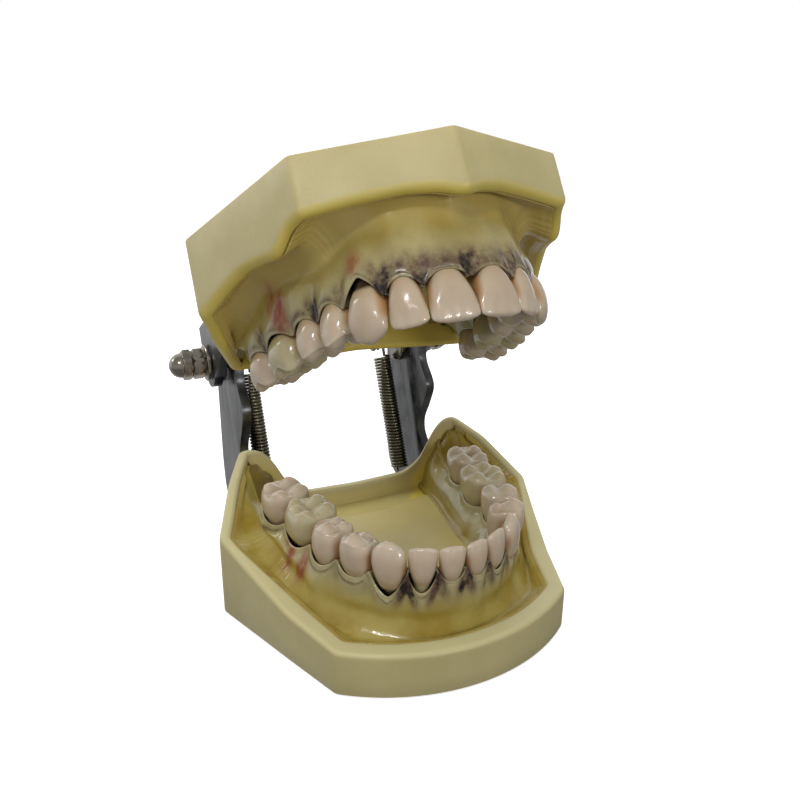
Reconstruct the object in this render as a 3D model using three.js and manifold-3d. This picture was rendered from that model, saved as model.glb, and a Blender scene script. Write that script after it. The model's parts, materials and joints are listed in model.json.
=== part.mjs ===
// Typodont: a training model of a full set of jaws on a spring hinge articulator.
// Millimetres, +Z up, the front teeth face -Y and the model's left is +X.
// The origin is the centre of the lower base's underside. The jaws stand wide open.
//
// Inside the model group, Y is counted back from just in front of the lower central
// incisors, and the upper jaw is built closed, then swung open about the hinge axis.

import * as THREE from 'three';
import { mergeVertices } from 'three/addons/utils/BufferGeometryUtils.js';
import Module from 'manifold-3d';

const wasm = await Module();
wasm.setup();
const { clamp, degToRad, lerp, mapLinear } = THREE.MathUtils;

// ---------------------------------------------------------------- driving dimensions

const BASE_CENTRE_Y = 24.5; // from the group's own zero back to the middle of the base
const OPEN_ANGLE = degToRad(31.1);
const HINGE_Y = 81.5;
const HINGE_Z = 44.8;
const GAP = 0.3; // between pieces that touch
const SIDES = [
  { name: 'right', sign: -1 },
  { name: 'left', sign: 1 },
];
const BASE_MIDDLE = new THREE.Vector2(0, 30); // rims and floors are drawn towards this point
const WALL_SLOPE = 0.8; // how far a rim's inner wall leans inwards
const FLOOR_INSET = 12; // from the outline in to the flat middle of a block

// Lower base: a block with a raised rim round a sunk floor.
const LOWER_BACK_Y = 58;
const LOWER_CANINE_CORNER = { x: 26.3, y: 3.4 };
const LOWER_HEEL_CORNER = { x: 38.9, y: 39.1 };
const LOWER_REAR_CORNER_X = 29;
const LOWER_FRONT_Y = -5.5;
const LOWER_RIM_FRONT_Z = 9.6;
const LOWER_RIM_WIDTH = 4.2;
const LOWER_RIM_DEPTH = 3.2;
const TONGUE_FLOOR_Z = 13;
const LOWER_RIDGE_FOOT_Z = 3;
const LOWER_GUM_FOOT_Z = 6;

// Upper base: a block with a pointed front, cut away below by the vestibule.
const UPPER_TOP_Z = 58;
const UPPER_BACK_Y = 57;
const UPPER_FRONT_Y = -8.8;
const UPPER_CANINE_CORNER = { x: 27, y: 1.1 };
const UPPER_HEEL_CORNER = { x: 39.5, y: 34.1 };
const UPPER_REAR_CORNER_X = 30;
const UPPER_RIM_WIDTH = 2.4;
const UPPER_RIM_DEPTH = 2.6;
const PALATE_Z = 42;
const UPPER_RIDGE_FOOT_Z = 53;
const UPPER_GUM_FOOT_Z = 50;

// Arches: the line through the middle of the crowns, seen from above, from the midline back.
const LOWER_ARCH = [
  [0, 1.5], [8.1, 3.7], [13.6, 7.5], [17.4, 13.5], [20, 20.8], [21.3, 30], [23.5, 41], [24.8, 51],
];
const UPPER_ARCH = [
  [0, -2.6], [8.9, -1.2], [14.2, 2], [17.6, 7], [19.8, 14.6], [21.9, 22], [23.8, 31.5], [26, 47],
];

// Teeth from the midline back: mesiodistal width, buccolingual depth, height of the biting edge.
const LOWER_TEETH = [
  { name: 'central_incisor', width: 5.4, depth: 6.0, edge: 27.4 },
  { name: 'lateral_incisor', width: 5.9, depth: 6.2, edge: 27.4 },
  { name: 'canine', width: 7.1, depth: 7.4, edge: 28.1 },
  { name: 'first_premolar', width: 7.5, depth: 7.6, edge: 27.1 },
  { name: 'second_premolar', width: 7.8, depth: 8.2, edge: 27.0 },
  { name: 'first_molar', width: 11.3, depth: 10.2, edge: 27.0 },
  { name: 'second_molar', width: 10.8, depth: 9.8, edge: 27.0 },
];
const UPPER_TEETH = [
  { name: 'central_incisor', width: 8.9, depth: 7.0, edge: 25.4 },
  { name: 'lateral_incisor', width: 6.8, depth: 6.2, edge: 25.9 },
  { name: 'canine', width: 8.0, depth: 8.0, edge: 25.5 },
  { name: 'first_premolar', width: 7.6, depth: 9.0, edge: 27.8 },
  { name: 'second_premolar', width: 7.5, depth: 9.2, edge: 27.8 },
  { name: 'first_molar', width: 10.8, depth: 11.0, edge: 27.8 },
  { name: 'second_molar', width: 10.2, depth: 10.8, edge: 27.8 },
];
const FRONT_TEETH = 3; // incisors and canine
const CONTACT_GAP = 0.35; // between neighbouring crowns
const FRONT_CROWN_HEIGHT = 10.2;
const BACK_CROWN_HEIGHT = 7.4;
const ROOT_LENGTH = 8.5;
const TOOTH_SIDES = 8;
const TOOTH_ROUNDNESS = 0.72; // 1 is an ellipse, lower is squarer

// Sections of a crown from the biting edge to the neck: [depth down the crown, width, depth],
// each as a share of the tooth's own.
const FRONT_CROWN = [[0, 0.8, 0.16], [0.28, 0.98, 0.36], [0.6, 0.92, 0.72], [1, 0.68, 0.86]];
const BACK_CROWN = [[0, 0.68, 0.62], [0.14, 0.92, 0.9], [0.45, 1, 1], [1, 0.78, 0.8]];
const ROOT_TIP = { width: 0.4, depth: 0.5 };

// Bone ridge and gum mask over it.
const RIDGE_LENGTH_FRACTION = 0.97;
const RIDGE_STATIONS = 22;
const RIDGE_HALF_WIDTH_FRONT = 2.7;
const RIDGE_HALF_WIDTH_BACK = 4.2;
const BONE_TRIM = 1.5; // the bone stops this far short of the gum's ends
const GUM_THICKNESS = 1.6;
const GUM_HALF_WIDTH_FRONT = 3;
const GUM_HALF_WIDTH_BACK = 4.6;
const GUM_LINGUAL_SPREAD = 2.4; // how much wider the gum is at its inner foot than at the necks
const GUM_BULGE = 1.3; // how far it swells outwards over the roots
const GUM_EDGE_BELOW_RIM = 0.9;
const GUM_FOLD_BELOW_RIM = 1.3;

// Articulator: folded sheet brackets, one on the back of each base.
const SHEET = 2.2;
const BRACKET_SCREW_X = 13;
const POST_INNER_X = 23.8;
const ARM_INNER_X = 27.4;
const POST_BOTTOM_Z = 2;
const CROSS_PLATE_TOP_Z = 14;
const POST_BACK_Y = 89.5;
const POST_TOP_Z = 53;
const POST_FRONT_EDGE = [[68.4, 42], [64.2, 36.8], [66.2, 31], [69, 25.4], [67.4, 20.4]]; // wavy, in Y and Z
const EAR_RADIUS = 6.3;
const ARM_PLATE_BOTTOM_Z = 44;
const ARM_PLATE_TOP_Z = 56;
const LOWER_SCREW_Z = 8;
const UPPER_SCREW_Z = 51;
const SCREW = { headRadius: 3, headHeight: 1.8, shankRadius: 1.4, length: 8 };
const SCREW_HOLE_LENGTH = 24;

const THROUGH = [10, 50]; // distances from the midline that take a hole right through a side plate

// Hinge bolt, its eccentric spring stud, nuts and washers, as distances from the midline.
const SHANK_RADIUS = 2.0;
const BORE_RADIUS = SHANK_RADIUS + 0.35;
const CRANK_RADIUS = 5.5;
const CRANK_INNER_X = 21.9;
const CRANK_OUTER_X = 23.5;
const BOLT_END_X = 36.8;
const STUD_RADIUS = 1.2;
const STUD_END_X = 16.8;
const UPPER_STUD = { y: HINGE_Y + 3.2, z: HINGE_Z - 1.5 }; // with the jaws open
const LOWER_STUD = { y: 69.3, z: 8, headRadius: 2.3, headThickness: 1.2 };
const FRICTION_WASHER = { from: 26.3, to: 27.1, radius: 5.2 };
const OUTER_WASHER = { from: 29.9, to: 30.7, radius: 4.6 };
const LOCK_NUT = { from: 31.0, to: 33.8 };
const ACORN_NUT = { from: 34.1, to: 39.5 };
const NUT_ACROSS_FLATS = 7;
const ACORN_HEX_HEIGHT = 2.3;
const ACORN_DOME_RADIUS = 3.1;

// Close-coiled tension springs between the lower stud and the bolt's stud.
const SPRING_X = 19.2;
const SPRING_RADIUS = 2.4;
const HOOK_RADIUS = 2.05;
const HOOK_LENGTH = 3.5;
const WIRE_RADIUS = 0.42;

// ---------------------------------------------------------------- materials

const COLOURS = {
  ivory: { color: 0xbfb585, roughness: 0.42, metalness: 0 },
  gum: { color: 0x8a7744, roughness: 0.2, metalness: 0 },
  enamel: { color: 0xc2ae9c, roughness: 0.25, metalness: 0 },
  cream: { color: 0xb5ab82, roughness: 0.25, metalness: 0 },
  steel: { color: 0x8c8c90, roughness: 0.3, metalness: 1 },
  spring: { color: 0x5c5a50, roughness: 0.35, metalness: 1 },
};

function material(name) {
  return new THREE.MeshStandardMaterial(COLOURS[name]);
}

function addPiece(group, name, geometry, finish) {
  const mesh = new THREE.Mesh(geometry, material(finish));
  mesh.name = name;
  group.add(mesh);
  return mesh;
}

// ---------------------------------------------------------------- solids

function toSolid(geometry) {
  const bare = geometry.clone();
  bare.deleteAttribute('normal');
  bare.deleteAttribute('uv');
  const merged = mergeVertices(bare, 1e-4);
  return new wasm.Manifold(new wasm.Mesh({
    numProp: 3,
    vertProperties: new Float32Array(merged.attributes.position.array),
    triVerts: new Uint32Array(merged.index.array),
  }));
}

/** A grazing cut can leave a crumb beside the piece, so only the largest body is kept. */
function largestBody(solid) {
  return solid.decompose().reduce((best, body) => (body.volume() > best.volume() ? body : best));
}

function fromSolid(solid) {
  const mesh = largestBody(solid).getMesh();
  const geometry = new THREE.BufferGeometry();
  geometry.setAttribute('position', new THREE.BufferAttribute(mesh.vertProperties, 3));
  geometry.setIndex(new THREE.BufferAttribute(mesh.triVerts, 1));
  geometry.computeVertexNormals();
  return geometry;
}

function join(...geometries) {
  return fromSolid(geometries.map(toSolid).reduce((whole, next) => whole.add(next)));
}

function cut(geometry, ...cutters) {
  return fromSolid(cutters.map(toSolid).reduce((whole, next) => whole.subtract(next), toSolid(geometry)));
}

/** Closed skin through rings of equal length. Each end is a fan to its middle point. */
function loft(rings, firstMiddle = middle(rings[0]), lastMiddle = middle(rings.at(-1))) {
  const count = rings[0].length;
  const points = [...rings.flat(), firstMiddle, lastMiddle];
  const faces = [];
  const first = rings.length * count;
  const last = first + 1;
  for (let r = 0; r < rings.length - 1; r++) {
    for (let i = 0; i < count; i++) {
      const j = (i + 1) % count;
      const a = r * count + i;
      const b = r * count + j;
      faces.push(a, b, b + count, a, b + count, a + count);
    }
  }
  for (let i = 0; i < count; i++) {
    const j = (i + 1) % count;
    const top = (rings.length - 1) * count;
    faces.push(first, j, i, last, top + i, top + j);
  }
  return skin(points, faces);
}

function middle(ring) {
  const sum = new THREE.Vector3();
  for (const point of ring) sum.add(point);
  return sum.divideScalar(ring.length);
}

/** Triangles with their faces turned outwards. */
function skin(points, faces) {
  const signedVolume = (a, b, c) => a.dot(new THREE.Vector3().crossVectors(b, c));
  let volume = 0;
  for (let f = 0; f < faces.length; f += 3) {
    volume += signedVolume(points[faces[f]], points[faces[f + 1]], points[faces[f + 2]]);
  }
  const outward = volume > 0 ? faces : faces.toReversed();
  const geometry = new THREE.BufferGeometry().setFromPoints(points);
  geometry.setIndex(outward);
  geometry.computeVertexNormals();
  return geometry;
}

/** A flat plate from an outline in Y and Z, its thickness from one X to another. */
function platePiece(shape, fromX, toX) {
  const options = { depth: toX - fromX, bevelEnabled: false, curveSegments: 5 };
  const geometry = new THREE.ExtrudeGeometry(shape, options);
  // The outline's x runs along Y and its y along Z, so the plate's thickness runs along X.
  geometry.applyMatrix4(new THREE.Matrix4().makeBasis(
    new THREE.Vector3(0, 1, 0),
    new THREE.Vector3(0, 0, 1),
    new THREE.Vector3(1, 0, 0),
  ));
  return geometry.translate(fromX, 0, 0);
}

/** A round bar along X between two distances from the midline, on one side. */
function bar(side, from, to, radius, y, z, segments = 14) {
  const geometry = new THREE.CylinderGeometry(radius, radius, to - from, segments);
  geometry.rotateZ(Math.PI / 2);
  return geometry.translate(side.sign * (from + to) / 2, y, z);
}

function box(fromX, toX, fromY, toY, fromZ, toZ) {
  const geometry = new THREE.BoxGeometry(toX - fromX, toY - fromY, toZ - fromZ);
  return geometry.translate((fromX + toX) / 2, (fromY + toY) / 2, (fromZ + toZ) / 2);
}

// ---------------------------------------------------------------- bases

/** Mirrors half an outline, given from the back's middle round to the front's middle. */
function mirrored(half) {
  const other = half.slice(1, -1).reverse().map((point) => ({ ...point, x: -point.x }));
  return [...half, ...other];
}

/** The outline as a ring, drawn towards a middle point by a distance. */
function ring(outline, inset, height) {
  return outline.map((corner) => {
    const point = new THREE.Vector2(corner.x, corner.y);
    const towards = BASE_MIDDLE.clone().sub(point).setLength(inset);
    point.add(towards);
    return new THREE.Vector3(point.x, point.y, height(corner));
  });
}

function baseMiddle(height) {
  return new THREE.Vector3(BASE_MIDDLE.x, BASE_MIDDLE.y, height);
}

function lowerOutline() {
  const { x: cornerX, y: cornerY } = LOWER_CANINE_CORNER;
  const sagitta = cornerY - LOWER_FRONT_Y;
  const radius = (cornerX ** 2 + sagitta ** 2) / (2 * sagitta);
  const sweep = Math.asin(cornerX / radius);
  const steps = 5;
  const front = [];
  for (let i = 0; i <= steps; i++) {
    const angle = sweep * (1 - i / steps);
    front.push({
      x: radius * Math.sin(angle),
      y: LOWER_FRONT_Y + radius * (1 - Math.cos(angle)),
      rim: LOWER_RIM_FRONT_Z,
    });
  }
  // The rim runs level along the tongue floor, climbs to a peak behind the last molar
  // and falls past the heel to the front.
  return mirrored([
    { x: 0, y: LOWER_BACK_Y, rim: 16.2 },
    { x: 14, y: LOWER_BACK_Y, rim: 16.6 },
    { x: 19, y: LOWER_BACK_Y, rim: 19.5 },
    { x: 23, y: LOWER_BACK_Y, rim: 27.2 },
    { x: 26, y: LOWER_BACK_Y, rim: 29.8 },
    { x: LOWER_REAR_CORNER_X, y: LOWER_BACK_Y, rim: 29.6 },
    { x: 33.6, y: 50, rim: 26.1 },
    { ...LOWER_HEEL_CORNER, rim: 18.4 },
    { x: 35.2, y: 28.5, rim: 14.6 },
    { x: 31.2, y: 17, rim: 11 },
    ...front,
  ]);
}

function upperOutline() {
  // The lower edge arches over the vestibule between frenum notches.
  return mirrored([
    { x: 0, y: UPPER_BACK_Y, rim: 37 },
    { x: 20, y: UPPER_BACK_Y, rim: 36 },
    { x: UPPER_REAR_CORNER_X, y: UPPER_BACK_Y, rim: 35.6 },
    { x: 35, y: 45.2, rim: 37.8 },
    { ...UPPER_HEEL_CORNER, rim: 41.5 },
    { x: 36.7, y: 26.7, rim: 43.6 },
    { x: 34, y: 19.6, rim: 45 },
    { x: 31.7, y: 13.5, rim: 44.4 },
    { x: 30.1, y: 9.4, rim: 43.4 },
    { x: 28.6, y: 5.3, rim: 46.6 },
    { ...UPPER_CANINE_CORNER, rim: 47.1 },
    { x: 18, y: -2.2, rim: 47.9 },
    { x: 10, y: -5.1, rim: 48.2 },
    { x: 4, y: -7.3, rim: 47.4 },
    { x: 0, y: UPPER_FRONT_Y, rim: 45.7 },
  ]);
}

/** The lower block with its rim and floor. Grown by a gap, it cuts the gum's seat. */
function lowerBlock(gap) {
  const outline = lowerOutline();
  const floor = (corner) => corner.rim - LOWER_RIM_DEPTH + gap;
  const inner = (corner) => Math.min(corner.rim - LOWER_RIM_DEPTH, TONGUE_FLOOR_Z) + gap;
  const rings = [
    ring(outline, 0, () => 0),
    ring(outline, 0, (corner) => corner.rim + gap),
    ring(outline, LOWER_RIM_WIDTH + gap, (corner) => corner.rim + gap),
    ring(outline, LOWER_RIM_WIDTH + WALL_SLOPE + gap, floor),
    ring(outline, FLOOR_INSET, inner),
  ];
  return loft(rings, baseMiddle(0), baseMiddle(TONGUE_FLOOR_Z + gap));
}

function upperBlock(gap) {
  const outline = upperOutline();
  const ceiling = (corner) => corner.rim + UPPER_RIM_DEPTH - gap;
  const rings = [
    ring(outline, 0, () => UPPER_TOP_Z),
    ring(outline, 0, (corner) => corner.rim - gap),
    ring(outline, UPPER_RIM_WIDTH + gap, (corner) => corner.rim - gap),
    ring(outline, UPPER_RIM_WIDTH + WALL_SLOPE + gap, ceiling),
    ring(outline, FLOOR_INSET, (corner) => Math.max(corner.rim + UPPER_RIM_DEPTH, PALATE_Z) - gap),
  ];
  return loft(rings, baseMiddle(UPPER_TOP_Z), baseMiddle(PALATE_Z - gap));
}

// ---------------------------------------------------------------- arches and teeth

/** The whole arch from the right end round the front to the left end. */
function archCurve(half) {
  const left = half.map(([x, y]) => new THREE.Vector3(x, y, 0));
  const right = half.slice(1).reverse().map(([x, y]) => new THREE.Vector3(-x, y, 0));
  return new THREE.CatmullRomCurve3([...right, ...left], false, 'centripetal');
}

/** A place on the arch, as a distance from the midline, with its outward direction. */
function archPlace(curve, distance) {
  const u = 0.5 + distance / curve.getLength();
  const point = curve.getPointAt(u);
  const along = curve.getTangentAt(u).setZ(0).normalize();
  return { point, along, out: new THREE.Vector3(along.y, -along.x, 0) };
}

/** A value that changes evenly from the front of an arch to its back. */
function alongArch(frontY, frontValue, backY, backValue) {
  return (y) => mapLinear(clamp(y, frontY, backY), frontY, backY, frontValue, backValue);
}

const JAWS = {
  lower: {
    arch: archCurve(LOWER_ARCH),
    teeth: LOWER_TEETH,
    up: 1, // direction from the root to the biting edge
    edge: 27.4,
    neck: alongArch(5, 17.2, 30, 19.4),
    lean: alongArch(7, 0.22, 20, 0), // how far the roots slope inwards
  },
  upper: {
    arch: archCurve(UPPER_ARCH),
    teeth: UPPER_TEETH,
    up: -1,
    edge: 25.6,
    neck: alongArch(3, 36.4, 30, 34.4),
    lean: alongArch(4, 0.25, 25, 0.05),
  },
};

/** The middle of the roots at a height: they slope inwards away from the biting edges. */
function spine(place, jaw, height) {
  const inwards = jaw.lean(place.point.y) * Math.abs(jaw.edge - height);
  return place.point.clone().addScaledVector(place.out, -inwards).setZ(height);
}

/** One section of a tooth: a rounded rectangle across the arch. */
function toothRing(place, jaw, height, halfWidth, halfDepth) {
  const points = [];
  const fold = (value) => Math.sign(value) * Math.abs(value) ** TOOTH_ROUNDNESS;
  for (let i = 0; i < TOOTH_SIDES; i++) {
    const angle = (2 * Math.PI * i) / TOOTH_SIDES;
    const point = spine(place, jaw, height);
    point.addScaledVector(place.along, fold(Math.cos(angle)) * halfWidth);
    point.addScaledVector(place.out, fold(Math.sin(angle)) * halfDepth);
    points.push(point);
  }
  return points;
}

/** A crown on its root peg. Grown by a gap, it cuts the tooth's socket. */
function toothPiece(jaw, tooth, index, side, distance, gap) {
  const place = archPlace(jaw.arch, side.sign * distance);
  const halfWidth = (tooth.width - CONTACT_GAP) / 2;
  const halfDepth = tooth.depth / 2;
  const front = index < FRONT_TEETH;
  const crown = front ? FRONT_CROWN_HEIGHT : BACK_CROWN_HEIGHT;
  const below = (depth) => tooth.edge - jaw.up * depth;
  const section = (depth, wide, deep) => (
    toothRing(place, jaw, below(depth), wide * halfWidth + gap, deep * halfDepth + gap)
  );
  const sections = front ? FRONT_CROWN : BACK_CROWN;
  return loft([
    ...sections.map(([down, wide, deep]) => section(down * crown - gap, wide, deep)),
    section(crown + ROOT_LENGTH + gap, ROOT_TIP.width, ROOT_TIP.depth),
  ]);
}

/** Calls back with every tooth of a jaw, walking back from the midline on both sides. */
function forEachTooth(jaw, visit) {
  for (const side of SIDES) {
    let distance = 0;
    jaw.teeth.forEach((tooth, index) => {
      visit(tooth, index, side, distance + tooth.width / 2);
      distance += tooth.width;
    });
  }
}

function socketCutters(jaw) {
  const cutters = [];
  forEachTooth(jaw, (tooth, index, side, distance) => {
    cutters.push(toothPiece(jaw, tooth, index, side, distance, GAP));
  });
  return cutters;
}

// ---------------------------------------------------------------- bone ridge and gum

function ridgePlaces(jaw, trim) {
  const reach = (jaw.arch.getLength() / 2) * RIDGE_LENGTH_FRACTION - trim;
  const places = [];
  for (let i = 0; i <= RIDGE_STATIONS; i++) {
    places.push(archPlace(jaw.arch, lerp(-reach, reach, i / RIDGE_STATIONS)));
  }
  return places;
}

/** A bar that follows the arch, its section given as [outward distance, height] pairs. */
function archBar(jaw, trim, section) {
  return loft(ridgePlaces(jaw, trim).map((place) => section(place).map(([outward, height]) => (
    spine(place, jaw, height).addScaledVector(place.out, outward)
  ))));
}

/** The bone ridge that holds the roots, standing on the block. */
function bonePiece(jaw, foot, gap) {
  const halfWidth = alongArch(6, RIDGE_HALF_WIDTH_FRONT, 26, RIDGE_HALF_WIDTH_BACK);
  return archBar(jaw, BONE_TRIM - gap, (place) => {
    const crest = jaw.neck(place.point.y) - jaw.up * (GUM_THICKNESS - gap);
    const half = halfWidth(place.point.y) + gap;
    return [[-half, foot], [-half * 0.85, crest], [half * 0.85, crest], [half, foot]];
  });
}

/** Distance from a point by the arch out to the outline drawn inwards by an inset. */
function reachToRim(from, out, outline, inset) {
  const inner = ring(outline, inset, () => 0);
  let reach = Infinity;
  inner.forEach((start, i) => {
    const end = inner[(i + 1) % inner.length];
    const edge = end.clone().sub(start);
    const across = out.x * edge.y - out.y * edge.x;
    const offset = start.clone().sub(from);
    const distance = (offset.x * edge.y - offset.y * edge.x) / across;
    const share = (offset.x * out.y - offset.y * out.x) / across;
    if (distance > 0 && share >= 0 && share <= 1) reach = Math.min(reach, distance);
  });
  return reach;
}

/** Height of the rim where the arch's outward direction meets the outline. */
function rimAt(place, outline) {
  const reach = reachToRim(place.point, place.out, outline, 0);
  const towards = place.point.clone().addScaledVector(place.out, reach);
  const weights = outline.map((corner) => {
    const distance = Math.hypot(corner.x - towards.x, corner.y - towards.y);
    return 1 / (distance ** 3 + 0.01);
  });
  const total = weights.reduce((sum, weight) => sum + weight, 0);
  return outline.reduce((sum, corner, i) => sum + corner.rim * weights[i], 0) / total;
}

/** The gum mask before its seat and sockets are cut: from the rim over the ridge. */
function gumBody(jaw, outline, rimInset, foot, lingualFoot) {
  const halfWidth = alongArch(6, GUM_HALF_WIDTH_FRONT, 26, GUM_HALF_WIDTH_BACK);
  return archBar(jaw, 0, (place) => {
    const neck = jaw.neck(place.point.y);
    const rim = rimAt(place, outline);
    const reach = (height) => reachToRim(spine(place, jaw, height), place.out, outline, rimInset) - GAP;
    const half = halfWidth(place.point.y);
    const bulge = lerp(neck, rim, 0.5);
    const edge = rim - jaw.up * GUM_EDGE_BELOW_RIM;
    const fold = rim - jaw.up * GUM_FOLD_BELOW_RIM;
    return [
      [-half - GUM_LINGUAL_SPREAD, foot],
      [-half - GUM_LINGUAL_SPREAD, lingualFoot],
      [-half - GUM_LINGUAL_SPREAD * 0.6, lerp(lingualFoot, neck, 0.55)],
      [-half, neck],
      [half, neck],
      [Math.min(half + GUM_BULGE, reach(bulge) + 1), bulge],
      [lerp(half, reach(fold), 0.65), fold],
      [reach(edge), edge],
      [reach(foot), foot],
    ];
  });
}

// ---------------------------------------------------------------- jaws

/** Base, gum mask and teeth. The grown block and bone cut the gum's seat a gap clear of them. */
function buildJaw(group, jawName, { block, blockGrown, bone, boneGrown, gum, screwHoles }) {
  const jaw = JAWS[jawName];
  const sockets = socketCutters(jaw);
  addPiece(group, `${jawName}_base`, cut(join(block, bone), ...sockets, ...screwHoles), 'ivory');
  addPiece(group, `${jawName}_gum_mask`, cut(gum, join(blockGrown, boneGrown), ...sockets), 'gum');
  forEachTooth(jaw, (tooth, index, side, distance) => {
    const finish = tooth.name === 'first_molar' ? 'cream' : 'enamel';
    const name = `${jawName}_${side.name}_${tooth.name}`;
    addPiece(group, name, toothPiece(jaw, tooth, index, side, distance, 0), finish);
  });
}

/** A pan-head screw along Y, driven forwards into the back of a base. */
function screwPiece(x, plateBackY, z) {
  const { headRadius, headHeight, shankRadius, length } = SCREW;
  const seat = plateBackY + GAP;
  const profile = [
    [0, -length],
    [shankRadius, -length],
    [shankRadius, 0],
    [headRadius, 0],
    [headRadius, headHeight * 0.5],
    [headRadius * 0.7, headHeight],
    [0, headHeight],
  ].map(([radius, along]) => new THREE.Vector2(radius, along));
  return new THREE.LatheGeometry(profile, 12).translate(x, seat, z);
}

/** A hole along Y that such a screw goes through. */
function screwHole(x, y, z) {
  const radius = SCREW.shankRadius + GAP;
  return new THREE.CylinderGeometry(radius, radius, SCREW_HOLE_LENGTH, 12).translate(x, y, z);
}

function buildLowerJaw(group) {
  const jaw = JAWS.lower;
  const lingualFoot = TONGUE_FLOOR_Z + 1;
  const inset = LOWER_RIM_WIDTH + WALL_SLOPE;
  buildJaw(group, 'lower', {
    block: lowerBlock(0),
    blockGrown: lowerBlock(GAP),
    bone: bonePiece(jaw, LOWER_RIDGE_FOOT_Z, 0),
    boneGrown: bonePiece(jaw, LOWER_RIDGE_FOOT_Z, GAP),
    gum: gumBody(jaw, lowerOutline(), inset, LOWER_GUM_FOOT_Z, lingualFoot),
    screwHoles: SIDES.map(({ sign }) => screwHole(sign * BRACKET_SCREW_X, LOWER_BACK_Y, LOWER_SCREW_Z)),
  });
}

function buildUpperJaw(group) {
  const jaw = JAWS.upper;
  const lingualFoot = PALATE_Z - 1.2;
  const inset = UPPER_RIM_WIDTH + WALL_SLOPE;
  buildJaw(group, 'upper', {
    block: upperBlock(0),
    blockGrown: upperBlock(GAP),
    bone: bonePiece(jaw, UPPER_RIDGE_FOOT_Z, 0),
    boneGrown: bonePiece(jaw, UPPER_RIDGE_FOOT_Z, GAP),
    gum: gumBody(jaw, upperOutline(), inset, UPPER_GUM_FOOT_Z, lingualFoot),
    screwHoles: SIDES.map(({ sign }) => screwHole(sign * BRACKET_SCREW_X, UPPER_BACK_Y, UPPER_SCREW_Z)),
  });
}

// ---------------------------------------------------------------- articulator

/** A post of the lower bracket: flared foot, wavy front edge and a round top. */
function postShape(plateY) {
  const shape = new THREE.Shape();
  shape.moveTo(plateY, POST_BOTTOM_Z);
  shape.lineTo(80, POST_BOTTOM_Z);
  shape.quadraticCurveTo(POST_BACK_Y, 6, POST_BACK_Y, 21);
  shape.lineTo(POST_BACK_Y, HINGE_Z);
  shape.quadraticCurveTo(POST_BACK_Y, POST_TOP_Z, HINGE_Y - 1, POST_TOP_Z);
  shape.quadraticCurveTo(69.5, POST_TOP_Z, 69.2, 45.5);
  const edge = [...POST_FRONT_EDGE, [plateY, CROSS_PLATE_TOP_Z]];
  shape.splineThru(edge.map(([y, z]) => new THREE.Vector2(y, z)));
  return shape;
}

/** An arm of the upper bracket, drawn closed: a web that ends in an ear with a stop corner. */
function armShape(plateY) {
  const shape = new THREE.Shape();
  shape.moveTo(plateY, ARM_PLATE_BOTTOM_Z);
  shape.lineTo(HINGE_Y - 5, HINGE_Z - EAR_RADIUS * 0.8);
  shape.absarc(HINGE_Y, HINGE_Z, EAR_RADIUS, -Math.PI * 0.7, 0, false);
  shape.lineTo(HINGE_Y + 4.6, HINGE_Z + 10.6);
  shape.lineTo(HINGE_Y - 1, HINGE_Z + 10.2);
  shape.lineTo(67, 50.6);
  shape.lineTo(plateY, ARM_PLATE_TOP_Z);
  return shape;
}

function lowerBracket(frontY) {
  const reach = POST_INNER_X + SHEET;
  const pieces = [box(-reach, reach, frontY, frontY + SHEET, POST_BOTTOM_Z, CROSS_PLATE_TOP_Z)];
  for (const side of SIDES) {
    const inner = side.sign * POST_INNER_X;
    const outer = side.sign * reach;
    pieces.push(platePiece(postShape(frontY), Math.min(inner, outer), Math.max(inner, outer)));
  }
  const cutters = SIDES.flatMap((side) => [
    bar(side, ...THROUGH, BORE_RADIUS, HINGE_Y, HINGE_Z),
    bar(side, ...THROUGH, STUD_RADIUS + GAP, LOWER_STUD.y, LOWER_STUD.z, 12),
    screwHole(side.sign * BRACKET_SCREW_X, frontY, LOWER_SCREW_Z),
  ]);
  return cut(join(...pieces), ...cutters);
}

function upperBracket(frontY) {
  const reach = ARM_INNER_X + SHEET;
  const pieces = [box(-reach, reach, frontY, frontY + SHEET, ARM_PLATE_BOTTOM_Z, ARM_PLATE_TOP_Z)];
  for (const side of SIDES) {
    const inner = side.sign * ARM_INNER_X;
    const outer = side.sign * reach;
    pieces.push(platePiece(armShape(frontY), Math.min(inner, outer), Math.max(inner, outer)));
  }
  const cutters = SIDES.flatMap((side) => [
    bar(side, ...THROUGH, BORE_RADIUS, HINGE_Y, HINGE_Z),
    screwHole(side.sign * BRACKET_SCREW_X, frontY, UPPER_SCREW_Z),
  ]);
  return cut(join(...pieces), ...cutters);
}

/** The hinge bolt: a round crank head with an eccentric stud for the spring. */
function hingeBolt(side) {
  return join(
    bar(side, CRANK_INNER_X, CRANK_OUTER_X, CRANK_RADIUS, HINGE_Y, HINGE_Z, 20),
    bar(side, CRANK_OUTER_X - 1, BOLT_END_X, SHANK_RADIUS, HINGE_Y, HINGE_Z),
    bar(side, STUD_END_X, CRANK_INNER_X + 0.5, STUD_RADIUS, UPPER_STUD.y, UPPER_STUD.z, 10),
  );
}

function washer(side, { from, to, radius }) {
  return cut(
    bar(side, from, to, radius, HINGE_Y, HINGE_Z, 18),
    bar(side, from - 1, to + 1, BORE_RADIUS, HINGE_Y, HINGE_Z),
  );
}

function hexagon(side, from, to) {
  return bar(side, from, to, NUT_ACROSS_FLATS / Math.sqrt(3), HINGE_Y, HINGE_Z, 6);
}

function lockNut(side) {
  return cut(
    hexagon(side, LOCK_NUT.from, LOCK_NUT.to),
    bar(side, LOCK_NUT.from - 1, LOCK_NUT.to + 1, BORE_RADIUS, HINGE_Y, HINGE_Z),
  );
}

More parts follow.
